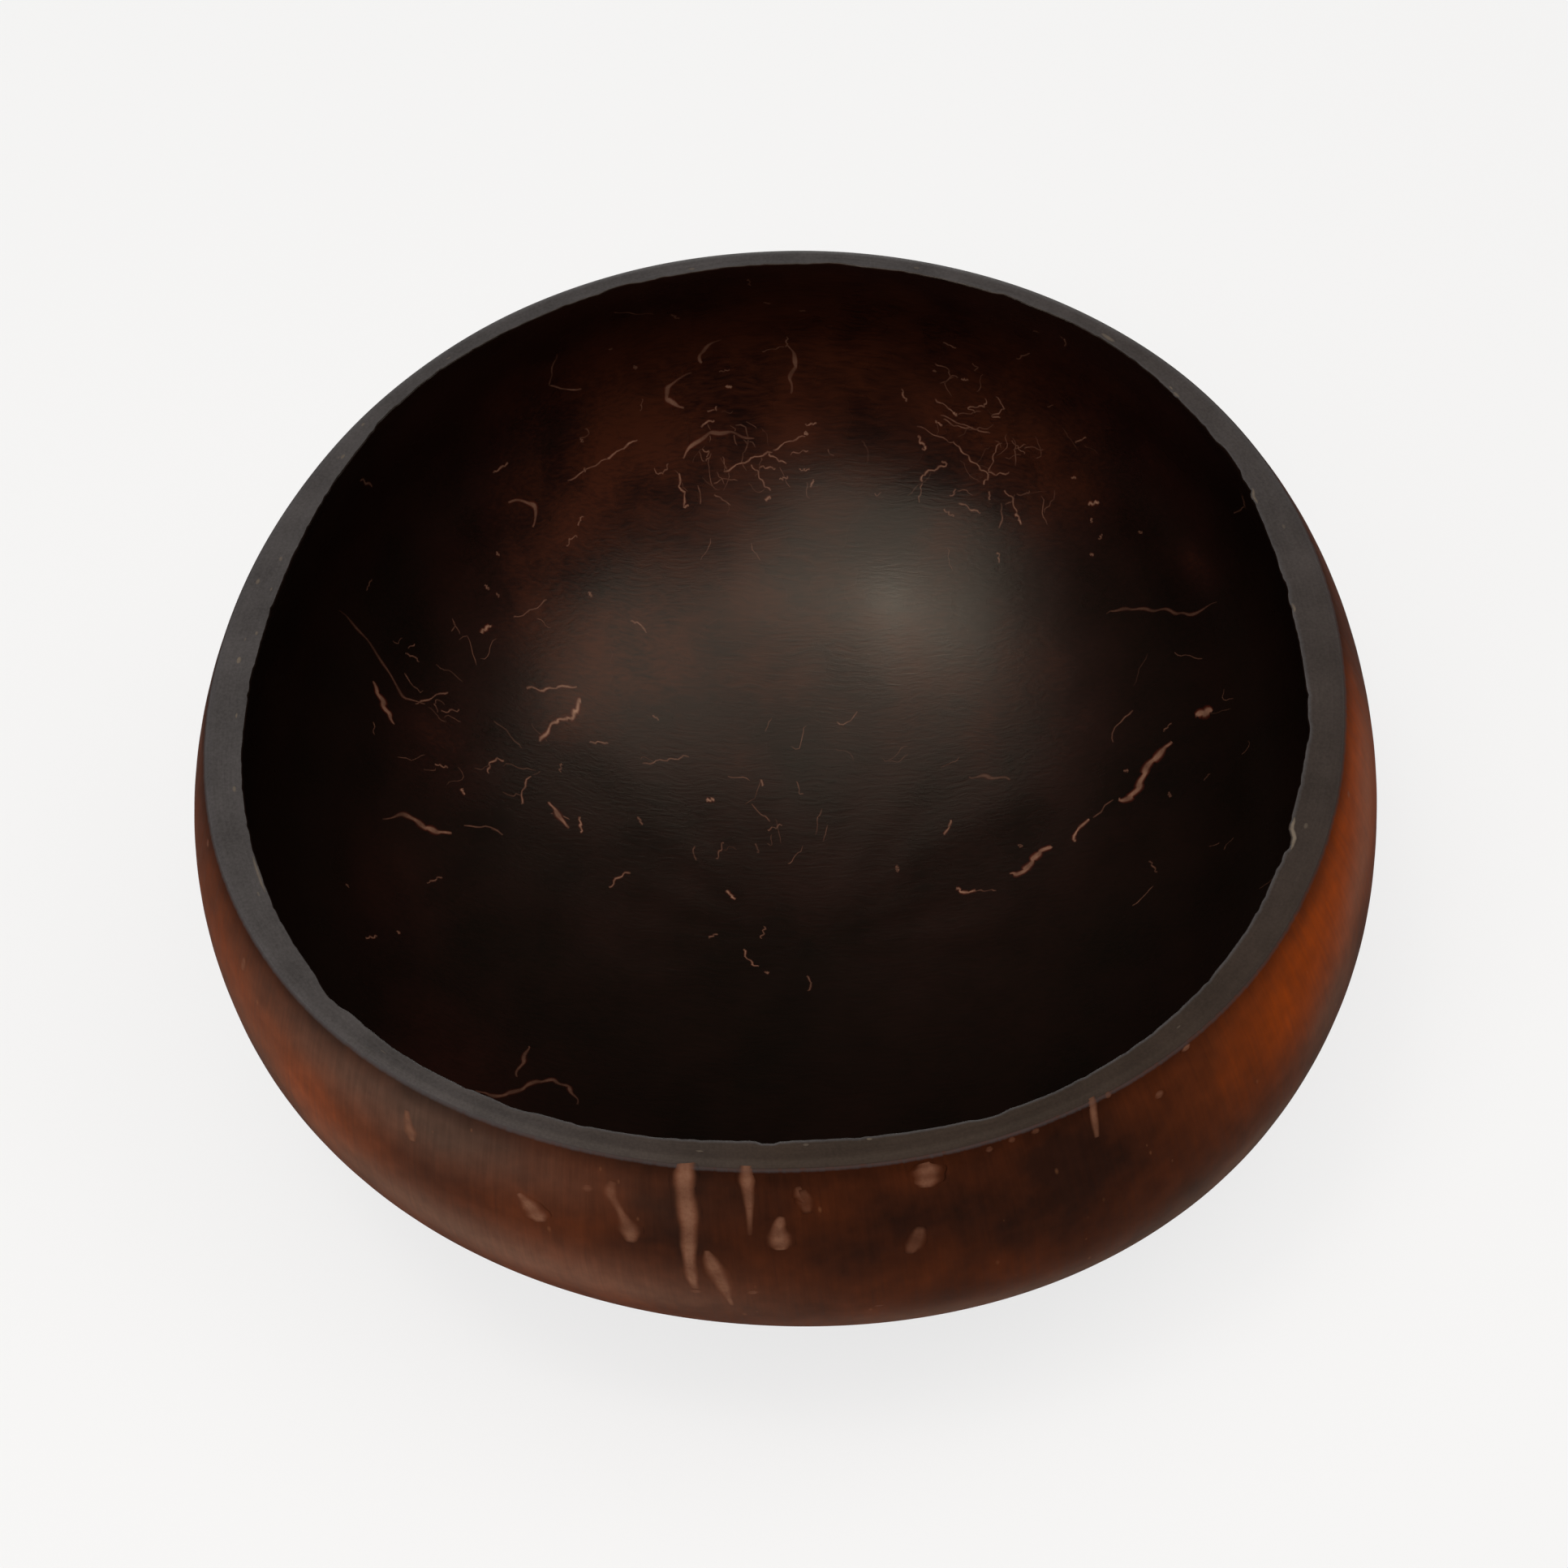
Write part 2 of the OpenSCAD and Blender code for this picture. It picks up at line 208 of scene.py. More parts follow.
# A nick is a parabola this many times its depth, cut off flat
NICK_PEAK = 1.25
NICK_REACH = 1.1 * MM
RAGGED_TURNS = (37, 91, 149, 213)
RAGGED = 0.04 * MM
WORN = 0.03 * MM
RIM_SAG = 0.05 * MM


def waves(bearing, share):
    """Slow unevenness, mostly between -1 and 1: a sum of sines round the bowl and down the wall."""
    total = sum(
        cosd(turns * bearing + phase[0]) * cosd(180 * rises * share + phase[1])
        for turns, rises, phase in zip(WAVE_TURNS, WAVE_RISES, WAVE_PHASES)
    )
    return total / WAVE_SUM


def chipped(bearing):
    """Depth of the chips in the rim's inner edge: the nicks, a fine ragged line and slow wear."""
    depth = np.zeros_like(bearing)
    for at, half, deep in NICKS:
        away = turn_to(bearing, at) / half
        depth = np.maximum(depth, deep * MM * np.clip(NICK_PEAK - away ** 2, 0, 1))
    ragged = sum(cosd(turns * bearing + 3 * turns) for turns in RAGGED_TURNS)
    return depth + RAGGED * np.maximum(ragged, 0) + WORN * (1 + waves(bearing * 3, 0.5))


def wall_point(face, bearing, share):
    """Place on a finished face of the wall, with its waves, its worn edge and its chips."""
    point = face_point(face, bearing, share)
    fade = np.clip(BASE_FADE * (1 - share), 0, 1)
    size = WAVE_OUTSIDE if face == "outer" else WAVE_INSIDE
    low = size * (1 + waves(bearing, share)) * fade + eased(face, share)
    if face == "outer":
        low = low + FACET_CUT * fade
    else:
        below = BELLY_DROP * share / UPPER_SHARE
        low = low + chipped(bearing) * np.exp(-(below / NICK_REACH) ** 2)
    return point + low[..., None] * inward(face, point)


def rim_point(bearing, across):
    """Place on the sawn rim, from its outer edge at 0 to its inner edge at 1, just below level."""
    outer_edge = wall_point("outer", bearing, 0 * bearing)
    inner_edge = wall_point("inner", bearing, 0 * bearing)
    point = outer_edge + across[..., None] * (inner_edge - outer_edge)
    sag = np.maximum(1 + waves(2 * bearing, across), 0) * np.sin(np.pi * across)
    point[..., 2] -= RIM_SAG * sag
    return point


print("deepest chip in the rim in mm:", round(chipped(np.arange(0, 360, 0.1)).max() / MM, 2))

# %% [markdown]
# ## The wall as one closed surface
# One grid runs up the outside, across the rim and down the inside. It has a point every 0.6 mm
# round the bowl, and its rings crowd together at the rim, where an edge 0.3 mm round has to show.
# A fan closes the underside and another the middle of the floor.

# %% Build the wall
AROUND = 600
OUTSIDE_RINGS = 46
INSIDE_RINGS = 92
EDGE_RINGS = 6
RIM_RINGS = 7


def ring_shares(face, rings):
    """Shares of the rings: close together round the eased edge, then even down to the end."""
    radius = RIM_EASE_OUT if face == "outer" else RIM_EASE_IN
    edge = UPPER_SHARE / BELLY_DROP * radius * (1 - cosd(np.linspace(0, 90, EDGE_RINGS)))
    down = np.linspace(edge[-1], 1, rings + 1)[1:]
    return np.concatenate([edge, down])


def grid_faces(rows, columns):
    """Four-cornered faces of a grid that closes round its columns."""
    row, column = np.meshgrid(np.arange(rows - 1), np.arange(columns), indexing="ij")
    here = row * columns + column
    right = row * columns + (column + 1) % columns
    return np.stack([here, right, right + columns, here + columns], axis=-1).reshape(-1, 4)


bearings = (np.arange(AROUND) * 360 / AROUND)[None, :]
outside_shares = ring_shares("outer", OUTSIDE_RINGS)[::-1]
inside_shares = ring_shares("inner", INSIDE_RINGS)[:-1]
across = np.linspace(0, 1, RIM_RINGS + 2)[1:-1]
outside = wall_point("outer", bearings, outside_shares[:, None])
outside[0, :, 2] = 0
rim = rim_point(bearings + 0 * across[:, None], across[:, None] + 0 * bearings)
inside = wall_point("inner", bearings, inside_shares[:, None])
rings = np.concatenate([outside, rim, inside])
grid = grid_faces(len(rings), AROUND)
base_middle, floor_middle = len(rings) * AROUND, len(rings) * AROUND + 1
first, last = np.arange(AROUND), (len(rings) - 1) * AROUND + np.arange(AROUND)
base_fan = np.stack([np.full(AROUND, base_middle), np.roll(first, -1), first], axis=1)
floor_fan = np.stack([np.full(AROUND, floor_middle), last, np.roll(last, -1)], axis=1)
floor_point = wall_point("inner", np.array([0.0]), np.array([1.0]))
wall_points = np.concatenate([rings.reshape(-1, 3), [[0, 0, 0]], floor_point])
print("wall:", len(wall_points), "points,", 2 * len(grid) + 2 * AROUND, "triangles")

# %% [markdown]
# ## Grain, clouds and painted light
# Fibres run down a coconut, so the grain needs a coordinate that follows the wall: the place round
# a cylinder as wide as the rim, and the length of wall above the flat. The dark isn't even either.
# Inside, red-brown clouds lie where the shell was scraped deeper. Outside, the belly is a warm
# orange brown and the front is darker. This is partly the shell's own tone and partly painted light
# and shade: the sides bright as if lit, the front dark as if in shade. The rim turns from grey to a
# darker brown at the front and right, partly painted shade. A cloud is a soft spot on the wall, and
# the sum of the clouds is kept on each point as warmth and shade, for the materials to read. Pale
# patches outside are partly dull shell where the sanding broke the oiled skin, and partly a painted
# sheen that stands for the floor's reflection low at the front. They are kept in the same way, as
# dullness and sheen.

# %% Functions for grain and clouds
# Clouds: bearing, share, half width in mm, half height in mm, strength
INSIDE_CLOUDS = [
    (92, 0.44, 42, 21, 0.36), (78, 0.24, 28, 12, 0.22), (96, 0.64, 32, 10, 0.36),
    (90, 0.86, 36, 16, 0.2), (98, 0.36, 13, 9, 0.5), (112, 0.42, 10, 6, 0.4),
    (126, 0.5, 10, 9, 0.5), (66, 0.4, 11, 8, 0.6), (70, 0.36, 5, 3, 0.3), (84, 0.25, 4, 8, 0.35),
    (120, 0.62, 7, 4, 0.4), (136, 0.64, 6, 3, 0.5), (38, 0.37, 3.5, 2, 0.4), (118, 0.65, 5, 3, 0.6),
    (156, 0.56, 8, 6, 0.4), (182, 0.56, 9, 7, 0.2), (45, 0.68, 16, 8, 0.2),
    (210, 0.58, 10, 8, 0.25), (250, 0.45, 14, 9, 0.15), (335, 0.45, 12, 8, 0.15),
    (88, 0.15, 44, 11, 0.58), (112, 0.3, 16, 10, 0.3), (50, 0.22, 14, 12, 0.18),
]
# Outside, the clouds are partly painted light and shade: the strong warm ones at the sides brighten
# them as if lit, the cool ones at the front darken it as if in shade, and round the back they vary
# the tone
OUTSIDE_CLOUDS_AND_LIGHT = [
    (205, 0.1, 18, 8, 0.42), (222, 0.14, 15, 8, 0.38), (215, 0.03, 16, 3, -0.12),
    (240, 0.03, 20, 3, -0.08), (338, 0.06, 24, 8, 0.85), (352, 0.12, 12, 10, 0.4),
    (322, 0.11, 12, 8, 0.25), (296, 0.08, 15, 7, -0.28), (245, 0.24, 16, 7, 0.25),
    (265, 0.06, 12, 5, 0.05), (20, 0.3, 20, 12, 0.7), (70, 0.25, 22, 10, 0.55),
    (120, 0.32, 24, 12, 0.7), (165, 0.28, 18, 10, 0.6), (255, 0.5, 26, 14, 0.4),
    (10, 0.6, 24, 12, 0.4), (130, 0.62, 26, 12, 0.45),
]
# Pale patches outside: partly dull shell where the sanding broke the oiled skin, partly a painted
# sheen that stands for the pale floor's reflection low at the front
DULL_AND_SHEEN_PATCHES = [
    (248, 0.24, 20, 5, 0.45), (230, 0.21, 12, 4.5, 0.25), (289, 0.35, 24, 5, 0.35),
    (316, 0.28, 14, 5, 0.35), (331, 0.18, 8, 4, 0.3), (342, 0.115, 9, 3, 0.35),
    (352, 0.08, 9, 3, 0.35), (214, 0.15, 12, 6, 0.2), (233, 0.05, 20, 4, 0.3),
    (60, 0.45, 20, 8, 0.35), (160, 0.5, 24, 8, 0.35),
]
# The rim's clouds are partly painted shade: the rim is darker and browner at the front and right
# than at the left
RIM_TONE_AND_SHADE = [
    (275, 0, 36, 9, 0.95), (320, 0, 34, 9, 0.7), (0, 0, 30, 9, 0.45), (50, 0, 20, 9, 0.3),
]
COOLEST = -0.4
WALL_LENGTH = 80 * MM
# Shares between which the clouds of the rim give way to those of the outside
RIM_TONE_FROM, RIM_TONE_TO = 0.0041, 0.0069


def clouds(bearing, share, places):
    """Sum of soft spots, each a bell over the distance round the bowl and down the wall."""
    total = np.zeros(np.broadcast(bearing, share).shape)
    for at, down, wide, high, strength in places:
        radius = profile(np.array(float(down)), BELLY_R, BELLY_BULGE, CAP_H, 90)[0]
        round_way = radius * np.radians(turn_to(bearing, at)) / (wide * MM)
        down_way = WALL_LENGTH * (share - down) / (high * MM)
        total = total + strength * np.exp(-(round_way ** 2 + down_way ** 2))
    return np.clip(total, COOLEST, 1)


def warmth_and_shade_at(face, bearing, share):
    """Warmth of a place, with painted light and shade outside and on the rim: from the clouds of
    its face, or from those of the rim round the edge.
    """
    if face == "inner":
        return clouds(bearing, share, INSIDE_CLOUDS)
    at_rim = np.clip((RIM_TONE_TO - share) / (RIM_TONE_TO - RIM_TONE_FROM), 0, 1)
    near = clouds(bearing, 0 * share, RIM_TONE_AND_SHADE)
    return at_rim * near + (1 - at_rim) * clouds(bearing, share, OUTSIDE_CLOUDS_AND_LIGHT)


print("clouds:", len(INSIDE_CLOUDS), "inside and", len(OUTSIDE_CLOUDS_AND_LIGHT), "outside")

# %% Grain, warmth and shade, dullness and sheen of the wall
ring_steps = np.linalg.norm(np.diff(rings, axis=0), axis=2).mean(axis=1)
ring_lengths = np.concatenate([[0], np.cumsum(ring_steps)])
outside_lengths = ring_lengths[:len(outside)]


def grain_place(bearing, length):
    """Grain coordinate: a point of a cylinder as wide as the rim, as high as the length of wall."""
    bearing, length = np.broadcast_arrays(bearing, length)
    return np.stack([RIM_R * cosd(bearing), RIM_R * sind(bearing), length], axis=-1)


def outside_grain(bearing, share):
    """Grain coordinate of a place on the outside, from the lengths of its rings."""
    return grain_place(bearing, np.interp(share, outside_shares[::-1], outside_lengths[::-1]))


all_shares = np.concatenate([outside_shares, 0 * across, inside_shares])
share_values = np.append(np.repeat(all_shares, AROUND), [1, 1])
dullness_and_sheen = clouds(bearings, outside_shares[:, None], DULL_AND_SHEEN_PATCHES).ravel()
dullness_and_sheen = np.append(dullness_and_sheen, np.zeros(len(share_values) - len(dullness_and_sheen)))
warmth_and_shade = np.concatenate([
    warmth_and_shade_at("outer", bearings, outside_shares[:, None]).ravel(),
    warmth_and_shade_at("rim", bearings, 0 * across[:, None]).ravel(),
    warmth_and_shade_at("inner", bearings, inside_shares[:, None]).ravel(),
    [0, 0],
])
middles = [[0, 0, -BASE_FLAT_R], [0, 0, ring_lengths[-1]]]
grain = np.concatenate([grain_place(bearings, ring_lengths[:, None]).reshape(-1, 3), middles])
print("length of the wall from base to floor in mm:", round(ring_lengths[-1] / MM, 1))

# %% [markdown]
# ## Helpers for materials
# Colours are written as sRGB hex values, as a paint chart gives them, and one function turns
# them to linear light. One function adds a node with its settings and links. A body is a function
# that builds the colour, the roughness and the bumps of a surface in a node tree, so the wall and
# the strands that lie in it can share one.

# %% Colour, node and material helpers
# Oiled wood and plant fibre bend light by about 1.5
WOOD_IOR = 1.5
# Linseed oil is a pale amber, which warms the sheen
OIL_TINT = "#fff6e4"


def colour(text):
    """Linear RGBA from an sRGB hex value."""
    values = [int(text[i:i + 2], 16) / 255 for i in (1, 3, 5)]
    return [v / 12.92 if v <= 0.04045 else ((v + 0.055) / 1.055) ** 2.4 for v in values] + [1.0]


def feed(tree, node, inputs):
    """Gives inputs of a node, each by its name or its place in the row, a value or a link."""
    for key, value in inputs.items():
        if isinstance(value, bpy.types.NodeSocket):
            tree.links.new(value, node.inputs[key])
        else:
            node.inputs[key].default_value = value


def add(tree, kind, inputs=(), out=0, **settings):
    """Adds a node, sets its properties, feeds its inputs, by name or in their order, and returns
    one of its outputs. The order in a map range is: value, two ends to come from, two to go to."""
    made = tree.nodes.new("ShaderNode" + kind)
    for key, value in settings.items():
        setattr(made, key, value)
    feed(tree, made, inputs if isinstance(inputs, dict) else dict(enumerate(inputs)))
    return made.outputs[out] if made.outputs else None


def set_ramp(ramp, low, middle_at, middle, high):
    """Gives a colour ramp a colour at its start, at one place between, and at its end."""
    elements = ramp.node.color_ramp.elements
    elements[0].color = colour(low)
    elements[1].color = colour(high)
    elements.new(middle_at).color = colour(middle)


def shell_material(name, body, level):
    """Material with one principled shader, dressed by a body, with the given specular level."""
    material = bpy.data.materials.new(name)
    material.use_nodes = True
    tree = material.node_tree
    base, rough, normal = body(tree)
    feed(tree, tree.nodes["Principled BSDF"], {
        "Base Color": base, "Roughness": rough, "Normal": normal, "IOR": WOOD_IOR,
        "Specular IOR Level": level, "Specular Tint": colour(OIL_TINT),
    })
    print("made", name, "with", len(tree.nodes), "nodes")
    return material


# %% [markdown]
# ## The outside: sanded and oiled shell
# Outside, the shell was sanded through its fibrous skin. What shows is a fine grain of fibres
# that run from rim to base, a few tenths of a millimetre wide and some millimetres long, and small
# pale dots where single fibres come to the surface. Oil makes it deep brown with a satin sheen.
# Towards the rim the brown darkens, and on the worn edge it takes the tone of the sawn rim. Its
# bright warm sides and darker front are partly painted light and shade, and its pale patches low at
# the front are partly a painted sheen.

# %% Outside material
FIBRE_WIDE, FIBRE_LONG = 0.45 * MM, 7 * MM
DOT_WIDE, DOT_LONG = 1.7 * MM, 3.4 * MM
MOTTLE_WIDE = 2.4 * MM
BLOTCH_WIDE = 22 * MM
FIBRE_RELIEF = 0.05 * MM
RELIEF_STRENGTH = 0.25
# Browns from cool and dark to warm and bright, with the place of the middle one. The clouds use
# them partly as painted light and shade.
OUTSIDE_BROWNS = ("#28130b", 0.45, "#57270f", "#863706")
# Pale colour of the patches: dull shell and painted sheen
DULL_SHELL_AND_SHEEN = "#7f6455"
FIBRE_TAN = "#8a5a3c"
RIM_GREY = "#494647"
# Darker brown of the rim at the front and right, partly painted shade
RIM_SHADED_BROWN = "#342923"
# Factors and an offset of the noises in the sums below
BLOTCH_GAIN, BLOTCH_OFFSET = 1.2, -0.42
MOTTLE_GAIN = 0.9
# Ranges of the share: the band that darkens to the rim, and the worn edge, which fibres fray
DARK_BAND = (0.006, 0.03, 0.6, 1)
WORN_EDGE, FRAY = (0.006, 0.0105, 1, 0), 0.003
# Ranges of the noises: the shade of the grain, the size of the dots, and the roughness
GRAIN_SHADE = (0.65, 1.25, 0.8, 1.2)
DOT_SIZE, DOT_PALE = (0.5, 1, 0, 0.16), 0.35
OUTSIDE_ROUGH = (0.3, 0.7, 0.62, 0.76)
OUTSIDE_LEVEL = 0.03


def outside_body(tree):
    """Brown that warms in the clouds, partly painted light and shade, and pales in patches, partly
    a painted sheen, with fibre grain, pale dots and a darker band by the rim.
    """
    place = add(tree, "TexCoord", out="Object")
    along = add(tree, "Attribute", out="Vector", attribute_name="grain")
    warm, share, pale = (
        add(tree, "Attribute", out="Fac", attribute_name=name)
        for name in ("warmth_and_shade", "share", "dullness_and_sheen")
    )
    stretch = (1, 1, FIBRE_WIDE / FIBRE_LONG)
    fibres_at = add(tree, "Mapping", {"Vector": along, "Scale": stretch})
    fibres = add(tree, "TexNoise", {
        "Vector": fibres_at, "Scale": 1 / FIBRE_WIDE, "Detail": 4, "Roughness": 0.6,
    })
    blotches = add(tree, "TexNoise", {
        "Vector": place, "Scale": 1 / BLOTCH_WIDE, "Detail": 5, "Roughness": 0.6,
    })
    clouded = add(tree, "Math", (blotches, BLOTCH_GAIN, BLOTCH_OFFSET), operation="MULTIPLY_ADD")
    # The clouds warm and brighten the brown: partly the shell's tone, partly painted light at the
    # sides and painted shade at the front
    warmer = add(tree, "Math", (warm, clouded), operation="ADD", use_clamp=True)
    brown = add(tree, "ValToRGB", {"Fac": warmer})
    set_ramp(brown, *OUTSIDE_BROWNS)
    # The pale patches: partly dull shell, partly a painted sheen in place of the floor's reflection
    dulled_and_sheened = add(tree, "Mix", {0: pale, 6: brown, 7: colour(DULL_SHELL_AND_SHEEN)}, 2, data_type="RGBA")
    band = add(tree, "MapRange", (share, *DARK_BAND))
    mottles = add(tree, "TexNoise", {"Vector": place, "Scale": 1 / MOTTLE_WIDE, "Detail": 3})
    mottled = add(tree, "Math", (mottles, MOTTLE_GAIN, fibres), operation="MULTIPLY_ADD")
    grainy = add(tree, "MapRange", (mottled, *GRAIN_SHADE))
    shade = add(tree, "Math", (band, grainy), operation="MULTIPLY")
    shaded = add(tree, "VectorMath", {0: dulled_and_sheened, "Scale": shade}, operation="SCALE")
    # In each cell of a Voronoi pattern lies a dot, and half of the cells get none
    dots_at = add(tree, "Mapping", {"Vector": along, "Scale": (1, 1, DOT_WIDE / DOT_LONG)})
    away = add(tree, "TexVoronoi", {"Vector": dots_at, "Scale": 1 / DOT_WIDE}, "Distance")
    chosen = add(tree, "SeparateColor", (away.node.outputs["Color"],))
    size = add(tree, "MapRange", (chosen, *DOT_SIZE))
    dot = add(tree, "MapRange", (away, size, 0, 0, DOT_PALE))
    dotted = add(tree, "Mix", {0: dot, 6: shaded, 7: colour(FIBRE_TAN)}, 2, data_type="RGBA")
    # The worn edge has the tone of the rim, with its painted shade at the front and right
    worn = add(tree, "Math", (fibres, FRAY, share), operation="MULTIPLY_ADD")
    edge = add(tree, "MapRange", (worn, *WORN_EDGE))
    grey, umber = colour(RIM_GREY), colour(RIM_SHADED_BROWN)
    tone = add(tree, "Mix", {0: warm, 6: grey, 7: umber}, 2, data_type="RGBA")
    edged = add(tree, "Mix", {0: edge, 6: dotted, 7: tone}, 2, data_type="RGBA")
    rough = add(tree, "MapRange", (fibres, *OUTSIDE_ROUGH))
    bump = add(tree, "Bump", {
        "Height": fibres, "Strength": RELIEF_STRENGTH, "Distance": FIBRE_RELIEF,
    })
    return edged, rough, bump


outside_material = shell_material("oiled_sanded_coconut_shell", outside_body, OUTSIDE_LEVEL)

# %% [markdown]
# ## The inside: scraped and oiled shell
# The inner face is smoother and darker, nearly black, because oil soaks into it. Red-brown
# clouds with a fine brushed texture lie in it, and its sheen is soft but clearer than outside, at
# a roughness between a quarter and a third. The brushed strokes are short, so their noise is
# stretched along one direction and then bent by a second noise, which keeps them from lying in
# rows.

# %% Inside material
STROKE_WIDE, STROKE_LONG = 0.4 * MM, 3 * MM
STROKE_TURN = (0, 0, math.radians(20))
BEND, BEND_WIDE = 1.2 * MM, 7 * MM
CLOUD_WIDE = 9 * MM
STROKE_RELIEF = 0.08 * MM
INSIDE_BROWNS = ("#0c0906", 0.4, "#24110d", "#452114")
# Factors and an offset of the noises, and how much of them shows outside the clouds
CLOUD_GAIN, CLOUD_OFFSET = 1.7, -0.6
STROKE_GAIN = 1.1
PLAIN_GAIN = 0.1
INSIDE_ROUGH = (0.3, 0.7, 0.25, 0.31)
INSIDE_LEVEL = 0.23


def inside_body(tree):
    """Near black with red-brown clouds and short bent strokes, under a soft satin sheen."""
    place = add(tree, "TexCoord", out="Object")
    warm = add(tree, "Attribute", out="Fac", attribute_name="warmth_and_shade")
    bend = add(tree, "TexNoise", {"Vector": place, "Scale": 1 / BEND_WIDE, "Detail": 2}, "Color")
    centred = add(tree, "VectorMath", (bend, (0.5, 0.5, 0.5)), operation="SUBTRACT")
    shift = add(tree, "VectorMath", {0: centred, "Scale": 2 * BEND}, operation="SCALE")
    bent = add(tree, "VectorMath", (place, shift), operation="ADD")
    strokes_at = add(tree, "Mapping", {
        "Vector": bent, "Rotation": STROKE_TURN, "Scale": (STROKE_WIDE / STROKE_LONG, 1, 1),
    })
    strokes = add(tree, "TexNoise", {
        "Vector": strokes_at, "Scale": 1 / STROKE_WIDE, "Detail": 3, "Roughness": 0.6,
    })
    blotches = add(tree, "TexNoise", {
        "Vector": bent, "Scale": 1 / CLOUD_WIDE, "Detail": 3, "Roughness": 0.45,
    })
    uneven = add(tree, "Math", (blotches, CLOUD_GAIN, CLOUD_OFFSET), operation="MULTIPLY_ADD")
    stroked = add(tree, "Math", (strokes, STROKE_GAIN, uneven), operation="MULTIPLY_ADD")
    warmer = add(tree, "Math", (warm, stroked), operation="MULTIPLY")
    mixed = (stroked, PLAIN_GAIN, warmer)
    faint = add(tree, "Math", mixed, operation="MULTIPLY_ADD", use_clamp=True)
    brown = add(tree, "ValToRGB", {"Fac": faint})
    set_ramp(brown, *INSIDE_BROWNS)
    rough = add(tree, "MapRange", (blotches, *INSIDE_ROUGH))
    bump = add(tree, "Bump", {
        "Height": strokes, "Strength": RELIEF_STRENGTH, "Distance": STROKE_RELIEF,
    })
    return brown, rough, bump


inside_material = shell_material("oiled_scraped_coconut_shell", inside_body, INSIDE_LEVEL)

# %% [markdown]
# ## The rim and the flat: sawn end grain
# Where the saw and then sandpaper on a flat board cut the wall, its end grain shows: a dense grey
# brown of stone cells, each a few tenths of a millimetre, with fine scratches round the rim. It
# takes less oil and stays matt, at a roughness of about 0.6. The flat underneath was cut on the
# same board and is a little warmer, because there the cut is nearly level with the layers.

# %% Rim and base materials
CELL = 0.28 * MM
PATCH_WIDE = 6 * MM
SCRATCH_WIDE, SCRATCH_LONG = 0.12 * MM, 6 * MM
SCRATCH_STRETCH = SCRATCH_WIDE / SCRATCH_LONG
CUT_RELIEF = 0.04 * MM
BASE_BROWN = "#4a3429"
# Factors of the noises in the shade, its least value, and the scratches in the relief
PATCH_GAIN, CELL_GAIN, SCRATCH_GAIN = 0.8, 0.7, 0.3
LEAST_SHADE = 0.1
SCRATCH_DEPTH = 0.6
CUT_ROUGH = 0.62
CUT_LEVEL = 0.2


def cut_body(tree, plain, brown, along, stretch):
    """End grain: one tone that turns browner and darker in the clouds, on the rim partly painted
    shade, with cells, patches and scratches.
    """
    place = add(tree, "TexCoord", out="Object")
    warm = add(tree, "Attribute", out="Fac", attribute_name="warmth_and_shade")
    cells = add(tree, "TexNoise", {"Vector": place, "Scale": 1 / CELL, "Detail": 2})
    patches = add(tree, "TexNoise", {"Vector": place, "Scale": 1 / PATCH_WIDE, "Detail": 4})
    scratches_at = add(tree, "Mapping", {"Vector": along, "Scale": stretch})
    scratches = add(tree, "TexNoise", {
        "Vector": scratches_at, "Scale": 1 / SCRATCH_WIDE, "Detail": 2,
    })
    # On the rim the browner, darker tone is partly painted shade
    tone = add(tree, "Mix", {0: warm, 6: colour(plain), 7: colour(brown)}, 2, data_type="RGBA")
    shade = add(tree, "Math", (patches, PATCH_GAIN, LEAST_SHADE), operation="MULTIPLY_ADD")
    shade = add(tree, "Math", (cells, CELL_GAIN, shade), operation="MULTIPLY_ADD")
    shade = add(tree, "Math", (scratches, SCRATCH_GAIN, shade), operation="MULTIPLY_ADD")
    shaded = add(tree, "VectorMath", {0: tone, "Scale": shade}, operation="SCALE")
    height = add(tree, "Math", (scratches, SCRATCH_DEPTH, cells), operation="MULTIPLY_ADD")
    bump = add(tree, "Bump", {
        "Height": height, "Strength": RELIEF_STRENGTH, "Distance": CUT_RELIEF,
    })
    return shaded, CUT_ROUGH, bump


def rim_body(tree):
    """Grey that turns a darker brown towards the front and right, partly painted shade, scratched
    round the rim.
    """
    along = add(tree, "Attribute", out="Vector", attribute_name="grain")
    stretch = (SCRATCH_STRETCH, SCRATCH_STRETCH, 1)
    return cut_body(tree, RIM_GREY, RIM_SHADED_BROWN, along, stretch)


def flat_body(tree):
    """Warm brown, scratched in straight lines."""
    along = add(tree, "TexCoord", out="Object")
    return cut_body(tree, BASE_BROWN, BASE_BROWN, along, (SCRATCH_STRETCH, 1, 1))


rim_material = shell_material("sawn_coconut_shell_rim", rim_body, CUT_LEVEL)
base_material = shell_material("sanded_coconut_shell_flat", flat_body, CUT_LEVEL)

# %% [markdown]
# ## Pieces, and what their points know
# A bowl turner sees one block of shell, and Blender sees a list of points and faces. The points
# also carry what the materials read: a number or a vector each, as a named attribute, because
# such a value sticks to the surface wherever the piece goes.

# %% Functions for pieces
def mesh_object(name, points, faces, materials):
    """Mesh object at the origin, smooth, from an array of points and a list of faces."""
    mesh = bpy.data.meshes.new(name)
    mesh.from_pydata(points.reshape(-1, 3).tolist(), [], faces)
    mesh.shade_smooth()
    piece = bpy.data.objects.new(name, mesh)
    bpy.context.scene.collection.objects.link(piece)
    for material in materials:
        mesh.materials.append(material)
    return piece


def give(piece, name, values):
    """Writes one number or one vector for each point of the piece as a named attribute."""
    kind, key = ("FLOAT", "value") if values.ndim == 1 else ("FLOAT_VECTOR", "vector")
    attribute = piece.data.attributes.new(name, kind, "POINT")
    attribute.data.foreach_set(key, values.astype(np.float32).ravel())


